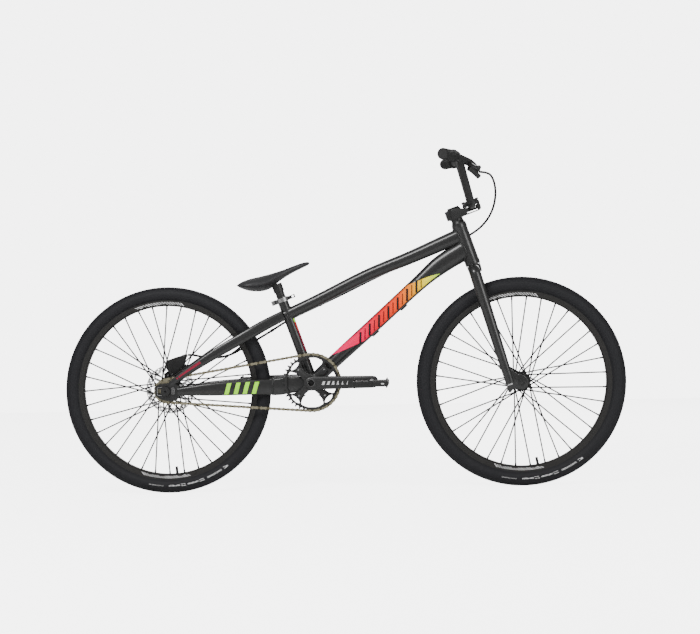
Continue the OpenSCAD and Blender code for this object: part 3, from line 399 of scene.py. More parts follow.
def across(p, y0, y1, radius, end_radius=None, chamfer=0.0, sides=32):
    """A round bar along the bike's width at a place."""
    start = Vector((p.x, y0 * MM, p.z))
    end = Vector((p.x, y1 * MM, p.z))
    return round_bar(start, end, radius, end_radius, chamfer, sides)


def ring_bar(a, b, outer, inner, sides=32, chamfer=0.0):
    """A tube between two places whose ends are flat rings."""
    u, v = axes_across(b - a)
    rings = []
    length = (b - a).length / MM
    cut = chamfer / length
    rim = outer - chamfer
    for t, r in [(0, inner), (0, rim), (cut, outer), (1 - cut, outer), (1, rim), (1, inner)]:
        rings.append([a + t * (b - a) + r * MM * (math.cos(w) * u + math.sin(w) * v) for w in turns(sides)])
    return skin(rings, closed=True)


def section(height, width, power, sides=40):
    """A rounded oblong; a lower power makes it squarer."""
    out = []
    for a in turns(sides):
        c = math.cos(a)
        s = math.sin(a)
        out.append((math.copysign(abs(c) ** power, c) * height / 2,
                    math.copysign(abs(s) ** power, s) * width / 2))
    return out


def loft_rings(stations, power, steps=5, sides=40):
    """Rings of a tube through stations of (place, height, width), upright in the side view."""
    rows = [Vector((*p, h * MM, w * MM)) for p, h, w in stations]
    rows = smooth_path(rows, steps)
    last = len(rows) - 1
    rings = []
    for i, q in enumerate(rows):
        d = rows[min(i + 1, last)] - rows[max(i - 1, 0)]
        up = Vector((-d[2], 0, d[0])).normalized()
        if up.z < 0:
            up = -up
        centre = Vector(q[:3])
        rings.append([centre + h * up + Vector((0, w, 0)) for h, w in section(q[3], q[4], power, sides)])
    return rings


def slab(outline, y0, y1):
    """A flat plate in the side view from an outline of places."""
    count = len(outline)
    verts = [Vector((p.x, y * MM, p.z)) for y in (y0, y1) for p in outline]
    faces = [tuple(range(count)), tuple(range(count, 2 * count))]
    faces += [(i, (i + 1) % count, count + (i + 1) % count, count + i) for i in range(count)]
    return verts, faces


def bead_on_ring(name, ring, body, size=2.4):
    """A row of overlapping weld ripples along a closed ring of places."""
    total = sum((ring[i] - ring[i - 1]).length for i in range(len(ring)))
    ripples = max(int(total / (3.2 * MM)), 12)
    path = even_points(ring, ripples * 4)
    rings = pipe_rings(path, 1.0, 8, closed=True)
    out = []
    for i, circle in enumerate(rings):
        swell = size * (0.82 + 0.26 * abs(math.sin(math.pi * i / 4)))
        out.append([path[i] + swell * (v - path[i]) for v in circle])
    verts, faces = skin(out, closed=True)
    return piece(name, verts, faces, body, GLOSS_BLACK, "frame_paint", crease=80)


def even_points(ring, count):
    """The same number of points spread evenly round a closed ring."""
    lengths = [(ring[(i + 1) % len(ring)] - ring[i]).length for i in range(len(ring))]
    total = sum(lengths)
    out = []
    i = 0
    gone = 0.0
    for k in range(count):
        want = total * k / count
        while gone + lengths[i] < want:
            gone += lengths[i]
            i += 1
        t = (want - gone) / lengths[i]
        out.append(ring[i].lerp(ring[(i + 1) % len(ring)], t))
    return out


def meet_round(ring, along, centre, axis, radius):
    """Where lines through a ring, running along a direction, meet a round tube's surface."""
    out = []
    d = along - along.dot(axis) * axis
    for p in ring:
        m = (p - centre) - (p - centre).dot(axis) * axis
        a = d.dot(d)
        b = m.dot(d)
        c = m.dot(m) - (radius * MM) ** 2
        root = math.sqrt(max(b * b - a * c, 0.0))
        out.append(p + (-b - root) / a * along)
    return out


# ---------------------------------------------------------------- camera, light, floor

CAMERA_PLACE = Vector((341.9, -6282.7, 672.2)) * MM
CAMERA_TARGET = Vector((20.75, 0, 493.3)) * MM
CAMERA_ROLL = -0.02575
CAMERA_LENS = 113.2
BACKDROP_SEEN = 5.5
BACKDROP_LIGHT = 0.35
FLOOR_SEEN = 4.6
FLOOR_HALF = 3.5


def set_camera():
    ahead = (CAMERA_TARGET - CAMERA_PLACE).normalized()
    right = ahead.cross(Vector((0, 0, 1))).normalized()
    up = right.cross(ahead)
    c = math.cos(CAMERA_ROLL)
    s = math.sin(CAMERA_ROLL)
    data = bpy.data.cameras.new("camera")
    data.lens = CAMERA_LENS
    data.clip_end = 100
    camera = bpy.data.objects.new("camera", data)
    bpy.context.scene.collection.objects.link(camera)
    turn = Matrix((c * right + s * up, -s * right + c * up, -ahead)).transposed()
    camera.matrix_world = Matrix.Translation(CAMERA_PLACE) @ turn.to_4x4()
    bpy.context.scene.camera = camera


def add_area(name, place, target, size, power):
    data = bpy.data.lights.new(name, "AREA")
    data.shape = "RECTANGLE"
    data.size = size[0]
    data.size_y = size[1]
    data.energy = power
    light = bpy.data.objects.new(name, data)
    light.location = place
    light.rotation_euler = (Vector(target) - Vector(place)).to_track_quat("-Z", "Y").to_euler()
    bpy.context.scene.collection.objects.link(light)


def set_world():
    """A backdrop that is bright to look at but lights the bike only dimly."""
    world = bpy.data.worlds.new("studio")
    world.use_nodes = True
    tree = world.node_tree
    seen = tree.nodes["Background"]
    seen.inputs["Color"].default_value = (1, 1, 1, 1)
    seen.inputs["Strength"].default_value = BACKDROP_SEEN
    dim = tree.nodes.new("ShaderNodeBackground")
    dim.inputs["Color"].default_value = (1, 1, 1, 1)
    dim.inputs["Strength"].default_value = BACKDROP_LIGHT
    ray = tree.nodes.new("ShaderNodeLightPath")
    mix = tree.nodes.new("ShaderNodeMixShader")
    tree.links.new(ray.outputs["Is Camera Ray"], mix.inputs["Fac"])
    tree.links.new(dim.outputs["Background"], mix.inputs[1])
    tree.links.new(seen.outputs["Background"], mix.inputs[2])
    tree.links.new(mix.outputs["Shader"], tree.nodes["World Output"].inputs["Surface"])
    bpy.context.scene.world = world


def floor_finish():
    """Pale paper that looks nearly as bright as the backdrop and lights the bike only by bounce."""
    made, shader = principled("floor_white", grey(0.9), 0.9, specular=0.0)
    tree = made.node_tree
    glow = tree.nodes.new("ShaderNodeEmission")
    glow.inputs["Color"].default_value = (1, 1, 1, 1)
    glow.inputs["Strength"].default_value = FLOOR_SEEN
    both = tree.nodes.new("ShaderNodeAddShader")
    ray = tree.nodes.new("ShaderNodeLightPath")
    mix = tree.nodes.new("ShaderNodeMixShader")
    tree.links.new(shader.outputs["BSDF"], both.inputs[0])
    tree.links.new(glow.outputs["Emission"], both.inputs[1])
    tree.links.new(ray.outputs["Is Camera Ray"], mix.inputs["Fac"])
    tree.links.new(shader.outputs["BSDF"], mix.inputs[1])
    tree.links.new(both.outputs["Shader"], mix.inputs[2])
    tree.links.new(mix.outputs["Shader"], tree.nodes["Material Output"].inputs["Surface"])
    return made


def set_studio():
    set_world()
    middle = (0, 0, 0.45)
    add_area("key", (-1.2, -2.6, 2.8), middle, (1.6, 1.2), 95)
    add_area("fill", (2.4, -2.2, 1.4), middle, (1.4, 1.4), 30)
    add_area("back", (0.6, 2.8, 1.8), middle, (2.2, 1.0), 30)
    verts = [Vector((x * FLOOR_HALF, y * FLOOR_HALF, 0)) for x, y in [(-1, -1), (1, -1), (1, 1), (-1, 1)]]
    mesh = bpy.data.meshes.new("floor")
    mesh.from_pydata([v[:] for v in verts], [], [(0, 1, 2, 3)])
    white = floor_finish()
    mesh.materials.append(white)
    floor = bpy.data.objects.new("floor", mesh)
    bpy.context.scene.collection.objects.link(floor)
    floor.location = (0, 0, -0.0005)


# ---------------------------------------------------------------- frame

HEAD_LOW = 362
HEAD_HIGH = 479
HEAD_R = 21.6
SEAT_R = 15
SEAT_TOP = 256
BB_R = 22
BB_HALF = 36.5

TOP_TUBE = [
    (at(342, 0, 501), 34, 32), (at(443, 0, 547), 33, 33), (at(578, 0, 611), 34, 35),
    (at(700, 0, 657.5), 37, 37), (at(793, 0, 695.5), 41, 38), (at(850, 0, 719), 43, 38)
]
DOWN_TUBE = [
    (at(418, 0, 312), 38, 48), (at(478, 0, 366.5), 39, 47), (at(601, 0, 474), 41.5, 46),
    (at(721, 0, 580), 43, 44), (at(790, 0, 636), 54, 42), (at(862, 0, 678), 57, 40)
]
CHAINSTAY = [
    (at(34, -58, 293.5), 21, 11), (at(70, -57.5, 296), 27, 13), (at(130, -52, 298.5), 37, 16),
    (at(215, -42, 301), 43, 17), (at(270, -35, 301), 44, 17), (at(304, -30, 300), 45, 16)
]
SEATSTAY = [
    (at(338, -12, 503), 29, 14), (at(283, -25, 476.5), 31, 16), (at(239, -36, 452.5), 31, 17),
    (at(195, -43, 429), 30, 17), (at(153, -48, 406), 28, 16), (at(111, -53, 381), 24, 14),
    (at(74, -56, 358), 20, 12), (at(38, -58, 334), 17, 11), (at(14, -58.5, 316), 15, 9)
]


def mirrored(stations):
    return [(flip(p), h, w) for p, h, w in stations]


def build_main_tubes():
    top = loft_rings(TOP_TUBE, 0.8, 8)
    piece("top_tube_skin", *skin(top), "frame", GLOSS_BLACK, "frame_paint", ["top_tube"])
    down = loft_rings(DOWN_TUBE, 0.78, 8)
    piece("down_tube_skin", *skin(down), "frame", GLOSS_BLACK, "frame_paint", ["down_tube"])
    top_ahead = TOP_TUBE[-1][0] - TOP_TUBE[-2][0]
    top_back = TOP_TUBE[0][0] - TOP_TUBE[1][0]
    down_ahead = DOWN_TUBE[-1][0] - DOWN_TUBE[-2][0]
    down_back = DOWN_TUBE[0][0] - DOWN_TUBE[1][0]
    welds = {
        "top_tube_head_weld": (top[-8], top_ahead, STEER_FOOT, STEER_UP, HEAD_R),
        "down_tube_head_weld": (down[-8], down_ahead, STEER_FOOT, STEER_UP, HEAD_R),
        "top_tube_seat_weld": (top[8], top_back, BOTTOM_BRACKET, SEAT_UP, SEAT_R),
        "down_tube_shell_weld": (down[6], down_back, BOTTOM_BRACKET, Vector((0, 1, 0)), BB_R)
    }
    for name, (ring, along, centre, axis, radius) in welds.items():
        met = meet_round(ring, along.normalized(), centre, axis, radius)
        bead_on_ring(name, met, "frame")


def build_head_and_seat():
    rings = []
    waist_r = HEAD_R - 0.8
    for s, r in [
        (HEAD_LOW, 21), (HEAD_LOW, HEAD_R), (HEAD_LOW + 9, HEAD_R), (HEAD_LOW + 12, waist_r),
        (HEAD_HIGH - 12, waist_r), (HEAD_HIGH - 9, HEAD_R), (HEAD_HIGH, HEAD_R), (HEAD_HIGH, 21)
    ]:
        rings.append([steer_at(r * math.cos(a), r * math.sin(a), s) for a in turns(48)])
    piece("head_tube_skin", *skin(rings), "frame", GLOSS_BLACK, "frame_paint", ["head_tube"])
    bore_r = 12.8
    steps = [(16, SEAT_R), (SEAT_TOP - 16, SEAT_R), (SEAT_TOP, SEAT_R), (SEAT_TOP, bore_r), (16, bore_r)]
    rings = [[seat_at(r * math.cos(a), r * math.sin(a), s) for a in turns(40)] for s, r in steps]
    piece("seat_tube_skin", *skin(rings, closed=True), "frame", GLOSS_BLACK, "frame_paint", ["seat_tube"])
    cover = [seat_at(n, 0, s) for n, s in [(-31.8, 242.4), (-17, 242.4), (-17, 255.8), (-31.8, 255.8)]]
    block = piece("collar_block", *slab(cover, -9.6, 8.6), "frame", SATIN_BLACK, "lever_alloy")
    bevel(block, 1.2)
    ring = [seat_at(SEAT_R * math.cos(a), SEAT_R * math.sin(a), 0) for a in turns(48)]
    bead_on_ring("seat_tube_shell_weld", [shell_top(p) for p in ring], "frame")


def shell_top(p):
    """The place on the upper side of the bottom bracket shell in line with a point and the seat tube."""
    m = p - BOTTOM_BRACKET
    d = SEAT_UP
    flat_m = Vector((m.x, 0, m.z))
    b = flat_m.dot(d)
    root = math.sqrt(max(b * b - flat_m.dot(flat_m) + (BB_R * MM) ** 2, 0.0))
    return p + (-b + root) * d


def build_stays():
    for side, stays in [("right", CHAINSTAY), ("left", mirrored(CHAINSTAY))]:
        rings = loft_rings(stays, 0.6, 6)
        piece(f"{side}_chainstay_skin", *skin(rings), "frame", GLOSS_BLACK, "frame_paint",
              ["chainstays"] if side == "right" else [])
        bead_on_ring(f"{side}_chainstay_weld", rings[-1], "frame", 2.0)
    for side, stays in [("right", SEATSTAY), ("left", mirrored(SEATSTAY))]:
        rings = loft_rings(stays, 0.7, 5)
        piece(f"{side}_seatstay_skin", *skin(rings), "frame", GLOSS_BLACK, "frame_paint",
              ["seatstays"] if side == "right" else [])
        bead_on_ring(f"{side}_seatstay_weld", rings[-6], "frame", 1.6)


def on_side(stations, power, x, height_share, proud=0.15, steps=8):
    """A place on the right face of a lofted tube: x ahead of the rear axle, height from -1 to 1."""
    rows = smooth_path([Vector((*p, h * MM, w * MM)) for p, h, w in stations], steps)
    target = at(x, 0, 0).x
    i = 0
    rising = rows[-1][0] > rows[0][0]
    while i < len(rows) - 2 and (rows[i + 1][0] < target) == rising:
        i += 1
    t = (target - rows[i][0]) / (rows[i + 1][0] - rows[i][0])
    q = rows[i] + t * (rows[i + 1] - rows[i])
    d = rows[i + 1] - rows[i]
    up = Vector((-d[2], 0, d[0])).normalized()
    if up.z < 0:
        up = -up
    share = min(abs(height_share), 0.999)
    depth = (1 - share ** (2 / power)) ** (power / 2)
    centre = Vector(q[:3])
    return centre + height_share * q[3] / 2 * up + Vector((0, -depth * q[4] / 2 - proud * MM, 0))


def patch(name, low_edge, high_edge, body, material, slot, rows=10, surface=None):
    """A thin skin between two edges given in (x, height share), wrapped on a tube's right face."""
    verts = []
    for a, b in zip(low_edge, high_edge):
        for k in range(rows + 1):
            t = k / rows
            verts.append(surface(a[0] + t * (b[0] - a[0]), a[1] + t * (b[1] - a[1])))
    count = rows + 1
    faces = [(i * count + k, (i + 1) * count + k, (i + 1) * count + k + 1, i * count + k + 1)
             for i in range(len(low_edge) - 1) for k in range(rows)]
    return piece(name, verts, faces, body, material, slot)


def spread(a, b, count):
    return [(a[0] + (b[0] - a[0]) * i / count, a[1] + (b[1] - a[1]) * i / count) for i in range(count + 1)]


def down_side(x, h):
    return on_side(DOWN_TUBE, 0.78, x, h)


STROKE_COUNT = 14


def build_down_tube_print():
    """The slanted fade and a hatch of dark slanted bars over it."""
    low = []
    high = []
    count = 60
    for i in range(count + 1):
        x = FADE_START + (FADE_TIP - FADE_START) * i / count
        low.append((x, between([(FADE_START, 0.95), (515, 0.16), (557, -0.74), (FADE_END, -0.74)], x)))
        high.append((x, between([(FADE_START, 0.96), (700, 0.96), (FADE_TIP, -0.72)], x)))
    patch("down_tube_fade", low, high, "frame", DECAL_FADE, "frame_paint", 12, down_side)

    def proud_side(x, h):
        return on_side(DOWN_TUBE, 0.78, x, h, 0.8)

    for i in range(STROKE_COUNT):
        x = 548 + i * 13.6
        width = 2.4 if i % 2 else 6
        ends = [(x, -0.6), (x + 15, 0.42)]
        print_line(f"down_tube_stroke_{i}", ends, width, proud_side, "frame", PRINT_DARK, "frame_paint")
    for i, x in enumerate([586, 668]):
        foot = on_side(DOWN_TUBE, 0.78, x, -0.99)
        clip = round_bar(foot + Vector((-9, 4, -8)) * MM, foot + Vector((9, 4, 8)) * MM, 4.2, 4.2, 1.0, 16)
        piece(f"down_tube_clip_{i}", *clip, "frame", SATIN_BLACK, "frame_paint")


def between(points, x):
    """Height along a bent line through (x, height) points."""
    for (x0, h0), (x1, h1) in zip(points[:-1], points[1:]):
        if x <= x1:
            return h0 + (h1 - h0) * (x - x0) / (x1 - x0)
    return points[-1][1]


def print_line(name, corners, width, surface, body, material, slot):
    """A printed outline of even width through corner points on a tube's side."""
    parts = []
    for a, b in zip(corners[:-1], corners[1:]):
        p = surface(*a)
        q = surface(*b)
        ahead = (q - p).normalized()
        side = ahead.cross(Vector((0, 1, 0))) * width / 2 * MM
        ahead = ahead * width / 2 * MM
        steps = 6
        verts = []
        for i in range(steps + 1):
            t = i / steps
            m = surface(a[0] + (b[0] - a[0]) * t, a[1] + (b[1] - a[1]) * t)
            m = m + ahead * (2 * t - 1)
            verts += [m + side, m - side]
        parts.append((verts, [(2 * i, 2 * i + 1, 2 * i + 3, 2 * i + 2) for i in range(steps)]))
    verts, faces = joined(parts)
    return piece(name, verts, faces, body, material, slot)


def build_stay_prints():
    def stay_side(x, h):
        return on_side(CHAINSTAY, 0.6, x, h, 0.35)

    for i in range(4):
        x = 166 + i * 26
        low_edge = spread((x, -0.85), (x + 12, -0.85), 4)
        high_edge = spread((x + 10, 0.7), (x + 22, 0.7), 4)
        patch(f"stay_bar_{i}", low_edge, high_edge, "frame", PRINT_LIME, "frame_paint", 6, stay_side)

    def seatstay_side(x, h):
        return on_side(SEATSTAY, 0.7, x, h, 0.35)

    patch("seatstay_print", spread((33, -0.2), (102, -0.2), 12), spread((33, 0.42), (102, 0.42), 12), "frame",
          PRINT_CRIMSON, "frame_paint", 4, seatstay_side)
    for label, start, end, finish in [("low", 90, 150, PRINT_CRIMSON), ("middle", 150, 178, PRINT_RED),
                                      ("high", 178, 203, PRINT_LIME)]:
        verts = []
        for s in (start, end):
            for degrees in (-44, -34, -25, -16):
                a = math.radians(degrees)
                r = SEAT_R + 0.6
                verts.append(seat_at(r * math.cos(a), r * math.sin(a), s))
        faces = [(i, i + 1, i + 5, i + 4) for i in range(3)]
        piece(f"seat_tube_line_{label}", verts, faces, "frame", finish, "frame_paint")


def build_yoke():
    back = 302.5
    shape = [(0, 276), (24, 276.5), (60, 282), (102, 287), (102, 326), (70, 329), (30, 327), (0, 323)]
    outline = [at(back + x, 0, z) for x, z in shape]
    for side, label in SIDES:
        y0, y1 = sorted([side * 14.0, side * 38.0])
        made = piece(f"yoke_cheek_{label}", *slab(outline, y0, y1), "frame", GLOSS_BLACK, "frame_paint",
                     ["chainstay_yoke"] if side < 0 else [])
        bevel(made, 5, 4)
    bridge = [at(back + x, 0, z) for x, z in [(55, 283), (100, 288), (100, 325), (55, 326)]]
    made = piece("yoke_bridge", *slab(bridge, -15, 15), "frame", GLOSS_BLACK, "frame_paint")
    bevel(made, 3, 3)
    end = Vector((0, BB_HALF * MM, 0))
    shell = ring_bar(BOTTOM_BRACKET - end, BOTTOM_BRACKET + end, BB_R, 19.2, 48, 0.8)
    piece("bottom_bracket_skin", *shell, "frame", GLOSS_BLACK, "frame_paint", ["bb_shell"])


def build_frame():
    build_main_tubes()
    build_head_and_seat()
    build_stays()
    build_yoke()
    build_down_tube_print()
    build_stay_prints()


# ---------------------------------------------------------------- wheels

BEAD_R = 253.5
RIM_IN_R = 241.0
RIM_OUT_R = 259.5
RIM_HALF = 12.5
TYRE_HALF = 22.0
SPOKE_COUNT = 36
SPOKE_R = 2.0
NIPPLE_R = 2.5
NIPPLE_LEN = 13
FLANGE_T = 3
ELBOW_OUT = 2.5
FRONT_LACING = (-80, (-31, 31), 22.5)
REAR_LACING = (-85.5, (-28, 28), 25)


def wheel_point(axle, radius, angle, y):
    return axle + Vector((radius * math.cos(angle), y, radius * math.sin(angle))) * MM


def tyre_profile(tread_r, count=30):
    """(radius, side) points of the tyre's outer skin from the right bead to the left one."""
    mid = (tread_r + BEAD_R + 0.5) / 2
    half = (tread_r - BEAD_R - 0.5) / 2 - 0.9
    out = []
    for i in range(count + 1):
        a = math.radians(-142 + 284 * i / count)
        out.append((mid + half * math.cos(a), (TYRE_HALF - 0.4) * math.sin(a)))
    return out


def build_tyre(name, axle, tread_r, body, node):
    profile = tyre_profile(tread_r)
    inner = [(r - 1.5 if abs(y) > 14 else r - 2, y * 0.86) for r, y in reversed(profile)]
    loop = profile + inner
    rings = [[wheel_point(axle, r, a, y) for r, y in loop] for a in turns(200)]
    piece(f"{name}_carcass", *skin(rings, closed=True), body, TYRE_RUBBER, "tyre_rubber", [node], 50)
    mid = (tread_r + BEAD_R + 0.5) / 2
    half = (tread_r - BEAD_R - 0.5) / 2
    blocks = []
    step = 2 * math.pi / 132
    for row, slope in enumerate([-58, -38, -19, 0, 19, 38, 58]):
        for i in range(132):
            a = (i + 0.5 * (row % 2)) * step
            blocks.append(tread_block(axle, mid, half, math.radians(slope), a, step))
    verts, faces = joined(blocks)
    piece(f"{name}_tread", verts, faces, body, TYRE_RUBBER, "tyre_rubber")


def tread_block(axle, mid, half, slope, a, step):
    """One low square knob on the tyre's crown."""
    lean = math.radians(7.0)
    verts = []
    for grow, shrink in [(-1.6, 0.36), (-0.05, 0.3)]:
        for da, db in [(-1, -1), (1, -1), (1, 1), (-1, 1)]:
            b = slope + db * lean
            r = mid + (half + grow) * math.cos(b)
            y = (TYRE_HALF + grow) * math.sin(b)
            verts.append(wheel_point(axle, r, a + da * shrink * step, y))
    faces = [(4, 5, 6, 7), (0, 1, 5, 4), (1, 2, 6, 5), (2, 3, 7, 6), (3, 0, 4, 7)]
    return verts, faces


def arc_marks(name, axle, body, material, slot, low_r, high_r, start, end, marks, side_of, lean=0.0):
    """Printed strokes on a wheel's right side; each mark is (place, width, low share, high share)."""
    parts = []
    for place, width, low_share, high_share in marks:
        a = start + (end - start) * place
        half = (end - start) * width / 2
        r0 = low_r + (high_r - low_r) * low_share
        r1 = low_r + (high_r - low_r) * high_share
        verts = []
        for j in range(3):
            t = j - 1
            for r in (r0, r1):
                shift = lean * (2 * (r - low_r) / (high_r - low_r) - 1)
                verts.append(wheel_point(axle, r, a + t * half + shift, -side_of(r) - 0.15))
        parts.append((verts, [(2 * j, 2 * j + 1, 2 * j + 3, 2 * j + 2) for j in range(2)]))
    verts, faces = joined(parts)
    return piece(name, verts, faces, body, material, slot)


def tyre_side(tread_r):
    """The side offset of the tyre's wall at a radius."""
    mid = (tread_r + BEAD_R + 0.5) / 2
    half = (tread_r - BEAD_R - 0.5) / 2 - 0.9

    def width(r):
        share = min(abs(r - mid) / half, 1.0)
        return (TYRE_HALF - 0.4) * math.sqrt(1 - share ** 2)

    return width


def rim_side(r):
    return RIM_HALF - 0.5 * (RIM_OUT_R - r) / (RIM_OUT_R - RIM_IN_R - 4) + 0.1


def mark_row(count, seed, thin=0.26):
    """A hatch of upright marks of uneven width and height."""
    draw = random.Random(seed)
    out = []
    for i in range(2 * count):
        middle = (i + 0.5) / (2 * count)
        low = draw.choice([0.0, 0.0, 0.25])
        out.append((middle, draw.uniform(0.8, 1.3) * thin / count, low, 1.0))
    return out


def build_wheel_prints(name, axle, tread_r, body):
    """Generic marks on the tyre wall and on the rim, along the bottom and the top of the wheel."""
    wall = tyre_side(tread_r)
    rows = [
        ("logo", PRINT_WHITE, 19, 25.5, -52.5, -55.5, mark_row(1, 6, 0.4)),
        ("word", PRINT_WHITE, 20, 24.5, -57, -67, mark_row(6, 1)),
        ("name_first", PRINT_WHITE, 19, 25.5, -69, -72, mark_row(1, 7, 0.45)),
        ("name_a", PRINT_WHITE, 20.5, 24.5, -72.5, -79.5, mark_row(4, 2, 0.34)),
        ("name_middle", PRINT_WHITE, 19, 25.5, -80.5, -83.5, mark_row(1, 8, 0.45)),
        ("name_b", PRINT_WHITE, 20.5, 24.5, -84, -91, mark_row(4, 3, 0.34)),
        ("size", PRINT_GREY, 20.5, 23.5, -94, -103, mark_row(7, 4, 0.25))
    ]
    for label, finish, near, far, start, end, marks in rows:
        arc_marks(f"{name}_wall_{label}", axle, body, finish, "tyre_rubber", tread_r - far, tread_r - near,
                  math.radians(start), math.radians(end), marks, wall, 0.002)
    for where, start, end in [("low", -77, -109), ("high", 110, 78)]:
        arc_marks(f"{name}_rim_{where}_print", axle, body, PRINT_WHITE, "rim_black", RIM_IN_R + 5,
                  RIM_OUT_R - 6, math.radians(start), math.radians(end), mark_row(9, 5, 0.22), rim_side, 0.02)


def build_wheels():
    build_tyre("front_tyre", FRONT_AXLE, FRONT_AXLE.z / MM, "front_wheel", "front_tyre")
    build_tyre("rear_tyre", REAR_AXLE, REAR_AXLE.z / MM, "rear_wheel", "rear_tyre")
    build_wheel_prints("front", FRONT_AXLE, FRONT_AXLE.z / MM, "front_wheel")
    build_wheel_prints("rear", REAR_AXLE, REAR_AXLE.z / MM, "rear_wheel")
    build_spokes("front", FRONT_AXLE, FRONT_LACING, "front_wheel", "front_spokes")
    build_spokes("rear", REAR_AXLE, REAR_LACING, "rear_wheel", "rear_spokes")


def build_spokes(name, axle, lacing, body, node):
    """Three-cross spokes with their nipples, as a single piece for each wheel."""
    valve_angle, flanges, circle = lacing
    crossing = 720 * 3 / SPOKE_COUNT
    parts = []
    for i in range(SPOKE_COUNT):
        side = i % 2
        pair = i // 2 % 2
        rim_a = math.radians(valve_angle + (i + 0.5) * 360 / SPOKE_COUNT)
        hub_a = rim_a + math.radians(crossing if pair == 0 else -crossing)
        out = -1 if side == 0 else 1
        y = flanges[side] + out * (1 if pair == side else -1) * (FLANGE_T / 2 + ELBOW_OUT)
        a = wheel_point(axle, circle, hub_a, y)
        b = wheel_point(axle, RIM_IN_R + 2, rim_a, out * 2)
        along = (b - a).normalized()
        nipple = b - (NIPPLE_LEN - 3) * MM * along
        parts.append(round_bar(a, nipple, SPOKE_R, sides=8))
        parts.append(round_bar(nipple, b, NIPPLE_R, sides=8))
        parts.append(across(a, flanges[side] - 2, flanges[side] + 2, SPOKE_R, sides=8))
    verts, faces = joined(parts)
    piece(f"{name}_spoke_set", verts, faces, body, SPOKE_BLACK, "spoke_black", [node], 60)


RING_TEETH = 40
COG_TEETH = 16
CHAIN_PITCH = 12.7
CHAIN_LINE = -44


def chain_pins():
    """The chain's pins, counted forward round the chainring from its lower tangent."""
    ring_r = CHAIN_PITCH / 2 / math.sin(math.pi / RING_TEETH)
    cog_r = CHAIN_PITCH / 2 / math.sin(math.pi / COG_TEETH)
    gap = (BOTTOM_BRACKET - REAR_AXLE) / MM
    distance = gap.length
    middle = math.atan2(gap.z, gap.x)
    wrap = math.asin((ring_r - cog_r) / distance)
    top = middle + math.pi / 2 + wrap
    low = middle - math.pi / 2 - wrap
    ring_links = (math.pi + 2 * wrap) * RING_TEETH / (2 * math.pi)
    cog_links = (math.pi - 2 * wrap) * COG_TEETH / (2 * math.pi)
    run = distance * math.cos(wrap)
    count = 2 * round((ring_links + cog_links + 2 * run / CHAIN_PITCH) / 2)
    run_links = (count - ring_links - cog_links) / 2
    cog_start = ring_links + run_links
    corners = [wheel_point(centre, r, a, CHAIN_LINE) for centre, r, a in [
        (BOTTOM_BRACKET, ring_r, top), (REAR_AXLE, cog_r, top),
        (REAR_AXLE, cog_r, low), (BOTTOM_BRACKET, ring_r, low)
    ]]
    pins = []
    for u in range(count):
        if u <= ring_links:
            pin = wheel_point(BOTTOM_BRACKET, ring_r, low + u * 2 * math.pi / RING_TEETH, CHAIN_LINE)
        elif u <= cog_start:
            pin = corners[0].lerp(corners[1], (u - ring_links) / run_links)
        elif u <= cog_start + cog_links:
            pin = wheel_point(REAR_AXLE, cog_r, top + (u - cog_start) * 2 * math.pi / COG_TEETH, CHAIN_LINE)
        else:
            pin = corners[2].lerp(corners[3], (u - cog_start - cog_links) / run_links)
        pins.append(pin)
    return pins


def link_plate(a, b, y0, y1, end_r, waist_r):
    """A plate round two pins with a narrow waist between them."""
    along = (b - a).normalized()
    side = Vector((-along.z, 0, along.x))
    outline = []
    for centre, turn in [(b, -1), (a, 1)]:
        for degrees in (-125, -90, -45, 0, 45, 90, 125):
            w = math.radians(degrees)
            outline.append(centre + end_r * MM * (-turn * math.cos(w) * along - turn * math.sin(w) * side))
        middle = a.lerp(b, 0.5)
        outline.append(middle - turn * waist_r * MM * side)
    return slab(outline, y0, y1)


def build_chain():
    """Waisted outer and inner plates with rollers between them, link after link."""
    pins = chain_pins()
    outer = []
    inner = []
    for i, a in enumerate(pins):
        b = pins[(i + 1) % len(pins)]
        if i % 2 == 0:
            for y in (CHAIN_LINE - 1.7, CHAIN_LINE + 0.8):
                inner.append(link_plate(a, b, y, y + 0.9, 4.3, 2.9))
            inner.append(across(a, CHAIN_LINE - 1.6, CHAIN_LINE + 1.6, 3.7, sides=14))
            inner.append(across(b, CHAIN_LINE - 1.6, CHAIN_LINE + 1.6, 3.7, sides=14))
        else:
            for y in (CHAIN_LINE - 2.7, CHAIN_LINE + 1.8):
                outer.append(link_plate(a, b, y, y + 0.9, 4.3, 3.0))
            outer.append(across(a, CHAIN_LINE - 3.1, CHAIN_LINE + 3.1, 1.8, sides=10))
            outer.append(across(b, CHAIN_LINE - 3.1, CHAIN_LINE + 3.1, 1.8, sides=10))
    piece("chain_outer_links", *joined(outer), "frame", CHAIN_STEEL, "chain_steel", ["chain"])
    piece("chain_inner_links", *joined(inner), "frame", CHAIN_DARK, "chain_steel")


DROPOUT_OUT = 61.5


